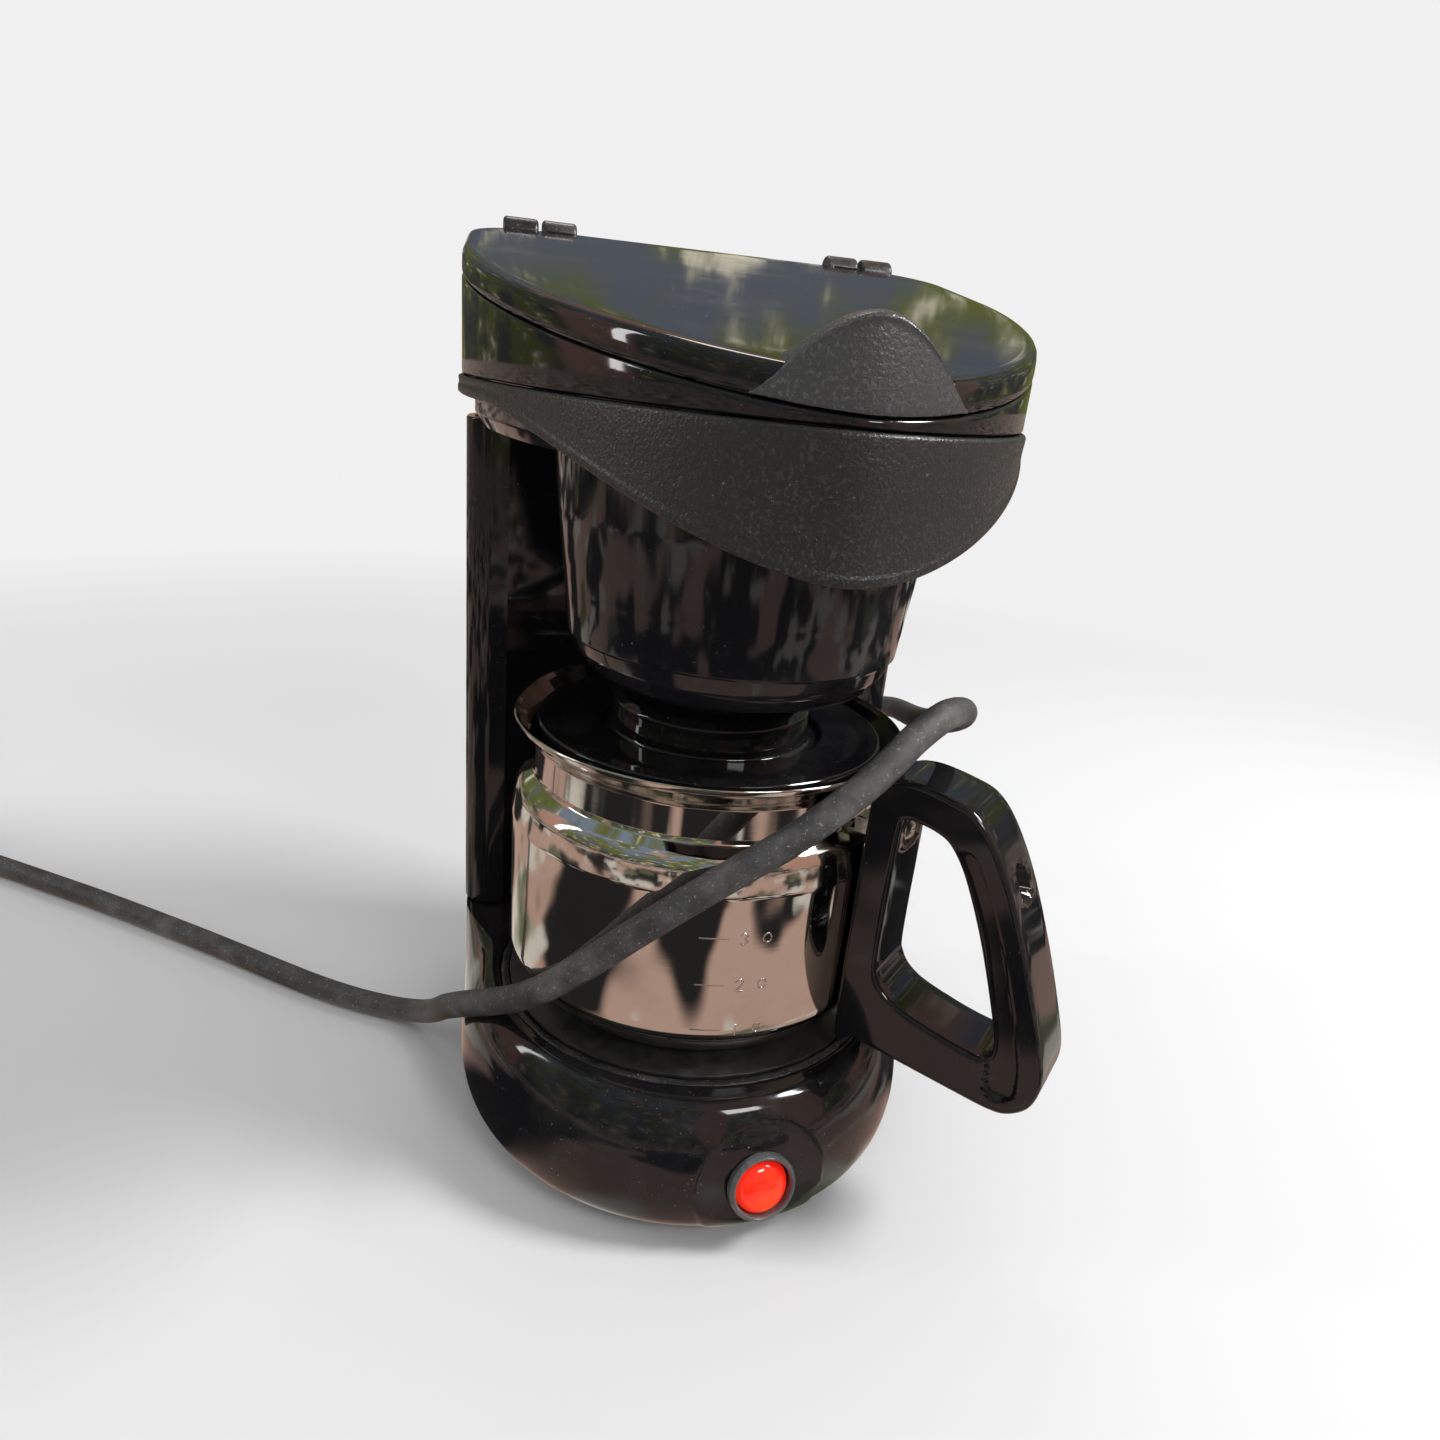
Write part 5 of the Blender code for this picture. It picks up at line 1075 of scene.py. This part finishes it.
def make_switch():
    """Bezel ring round the red domed rocker."""
    corners = [(8.1, -0.7, 0.2), (8.1, 1.6, 0.3), (8.5, 2.15, 0.3), (8.9, 2.1, 0.4), (9.7, 1.0, 0.5),
               (9.8, -0.7, 0.2)]
    points, faces = turned(corners, (0, 0), 96)
    mesh_object("bezel_ring", points, faces, BEZEL, "machine", ("switch_bezel",), 50,
                at_switch)
    corners = [(0.02, 2.86, 0), (3.2, 2.6, 4.0), (6.0, 1.5, 5.0), (7.75, -0.4, 1.6), (7.8, -2.2, 0.3),
               (6.4, -3.35, 0.3), (0.02, -3.35, 0)]
    points, faces = turned(corners, (0, 0), 96, closed=False, step=0.08)
    lean = np.array(Matrix.Rotation(math.radians(-5.0), 3, "X"))
    points = points @ lean.T
    mesh_object("rocker_lens", points, faces, LENS, "rocker", ("switch_rocker",), 50, at_switch)


make_switch()


# ------------------------------------------------------------------ stage and light
def make_stage():
    """Pale floor whose tone meets the room's far away, so no horizon shows."""
    size = 14.0
    points = [(-size, -size, 0.0), (size, -size, 0.0), (size, size, 0.0), (-size, size, 0.0)]
    mesh = bpy.data.meshes.new("floor")
    mesh.from_pydata(points, [], [(0, 1, 2, 3)])
    material, tree, p, where = shader("pale_floor")
    tone = ramp(tree, noise(tree, where, 2.0, 2, 0.5), 0.3, 0.7)
    tree.links.new(mix_colour(tree, tone, (0.62, 0.62, 0.62), (0.635, 0.635, 0.635)), p.inputs["Base Color"])
    p.inputs["Roughness"].default_value = 0.9
    p.inputs["Specular IOR Level"].default_value = 0.0
    reach = tree.nodes.new("ShaderNodeVectorMath")
    reach.operation = "LENGTH"
    tree.links.new(where, reach.inputs[0])
    far = ramp(tree, reach.outputs["Value"], 0.42, 1.0)
    glow = tree.nodes.new("ShaderNodeEmission")
    glow.inputs["Color"].default_value = (PALE, PALE, PALE, 1.0)
    blend = tree.nodes.new("ShaderNodeMixShader")
    tree.links.new(far, blend.inputs[0])
    tree.links.new(p.outputs[0], blend.inputs[1])
    tree.links.new(glow.outputs[0], blend.inputs[2])
    ray = tree.nodes.new("ShaderNodeLightPath")
    dim = tree.nodes.new("ShaderNodeEmission")
    clay = ramp(tree, noise(tree, where, 4.6, 2, 0.5), 0.485, 0.535)
    sand = ramp(tree, noise(tree, where, 7.3, 3, 0.5), 0.56, 0.61)
    moss = ramp(tree, noise(tree, where, 5.7, 3, 0.5), 0.60, 0.66)
    ground = mix_colour(tree, clay, (0.022, 0.021, 0.021), (0.56, 0.38, 0.31))
    ground = mix_colour(tree, sand, ground, (0.72, 0.68, 0.60))
    ground = mix_colour(tree, moss, ground, (0.16, 0.17, 0.10))
    tree.links.new(ground, dim.inputs["Color"])
    mirror = tree.nodes.new("ShaderNodeMixShader")
    tree.links.new(ray.outputs["Is Glossy Ray"], mirror.inputs[0])
    tree.links.new(blend.outputs[0], mirror.inputs[1])
    tree.links.new(dim.outputs[0], mirror.inputs[2])
    out = [n for n in tree.nodes if n.type == "OUTPUT_MATERIAL"][0]
    tree.links.new(mirror.outputs[0], out.inputs["Surface"])
    mesh.materials.append(material)
    obj = bpy.data.objects.new("floor", mesh)
    bpy.context.scene.collection.objects.link(obj)


def area_light(name, at, target, size, power, colour=(1, 1, 1)):
    """A soft rectangular light aimed at a point."""
    data = bpy.data.lights.new(name, "AREA")
    data.shape = "RECTANGLE"
    data.size, data.size_y = size
    data.energy = power
    data.color = colour
    obj = bpy.data.objects.new(name, data)
    bpy.context.scene.collection.objects.link(obj)
    obj.location = at
    obj.rotation_euler = (Vector(target) - Vector(at)).to_track_quat("-Z", "Y").to_euler()
    return obj


def make_light():
    """Key from the upper right, fill in front, strips for the gloss, and a room seen darker in the gloss."""
    area_light("key", (0.95, -0.30, 1.15), (0, 0, 0.1), (0.35, 0.35), 19)
    area_light("front_fill", (0.55, -1.2, 1.15), (0, 0, 0.15), (0.5, 0.3), 6)
    area_light("left_strip", (-1.3, 0.2, 0.7), (0, 0.0, 0.15), (0.10, 0.8), 2.5)
    area_light("top_glow", (0.0, 0.9, 1.6), (0, 0, 0.2), (0.5, 0.25), 3)
    world = bpy.data.worlds.new("room")
    bpy.context.scene.world = world
    world.use_nodes = True
    tree = world.node_tree
    background = tree.nodes["Background"]
    where = tree.nodes.new("ShaderNodeTexCoord").outputs["Generated"]
    split = tree.nodes.new("ShaderNodeSeparateXYZ")
    tree.links.new(where, split.inputs[0])
    height = ramp(tree, split.outputs["Z"], -0.1, 0.8)
    room = mix_colour(tree, height, (0.05, 0.045, 0.042), (0.24, 0.29, 0.38))
    leaves = ramp(tree, noise(tree, where, 5.5, 5, 0.65), 0.42, 0.56)
    room = mix_colour(tree, leaves, room, (0.15, 0.17, 0.045))
    gaps = ramp(tree, noise(tree, where, 11.0, 5, 0.7), 0.56, 0.66)
    room = mix_colour(tree, maths(tree, "MULTIPLY", gaps, 0.85), room, (1.0, 0.92, 0.74))
    warm = ramp(tree, noise(tree, where, 1.9, 1, 0.4, (1.0, 1.0, 0.35)), 0.52, 0.58)
    room = mix_colour(tree, maths(tree, "MULTIPLY", warm, 0.7), room, (0.70, 0.36, 0.28))
    path = tree.nodes.new("ShaderNodeLightPath")
    plain = mix_colour(tree, path.outputs["Is Camera Ray"], (0.60, 0.60, 0.61), (PALE, PALE, PALE))
    seen = mix_colour(tree, path.outputs["Is Glossy Ray"], plain, room)
    tree.links.new(seen, background.inputs["Color"])
    background.inputs["Strength"].default_value = 1.0


make_stage()
make_light()
bpy.context.scene.view_settings.view_transform = "Standard"
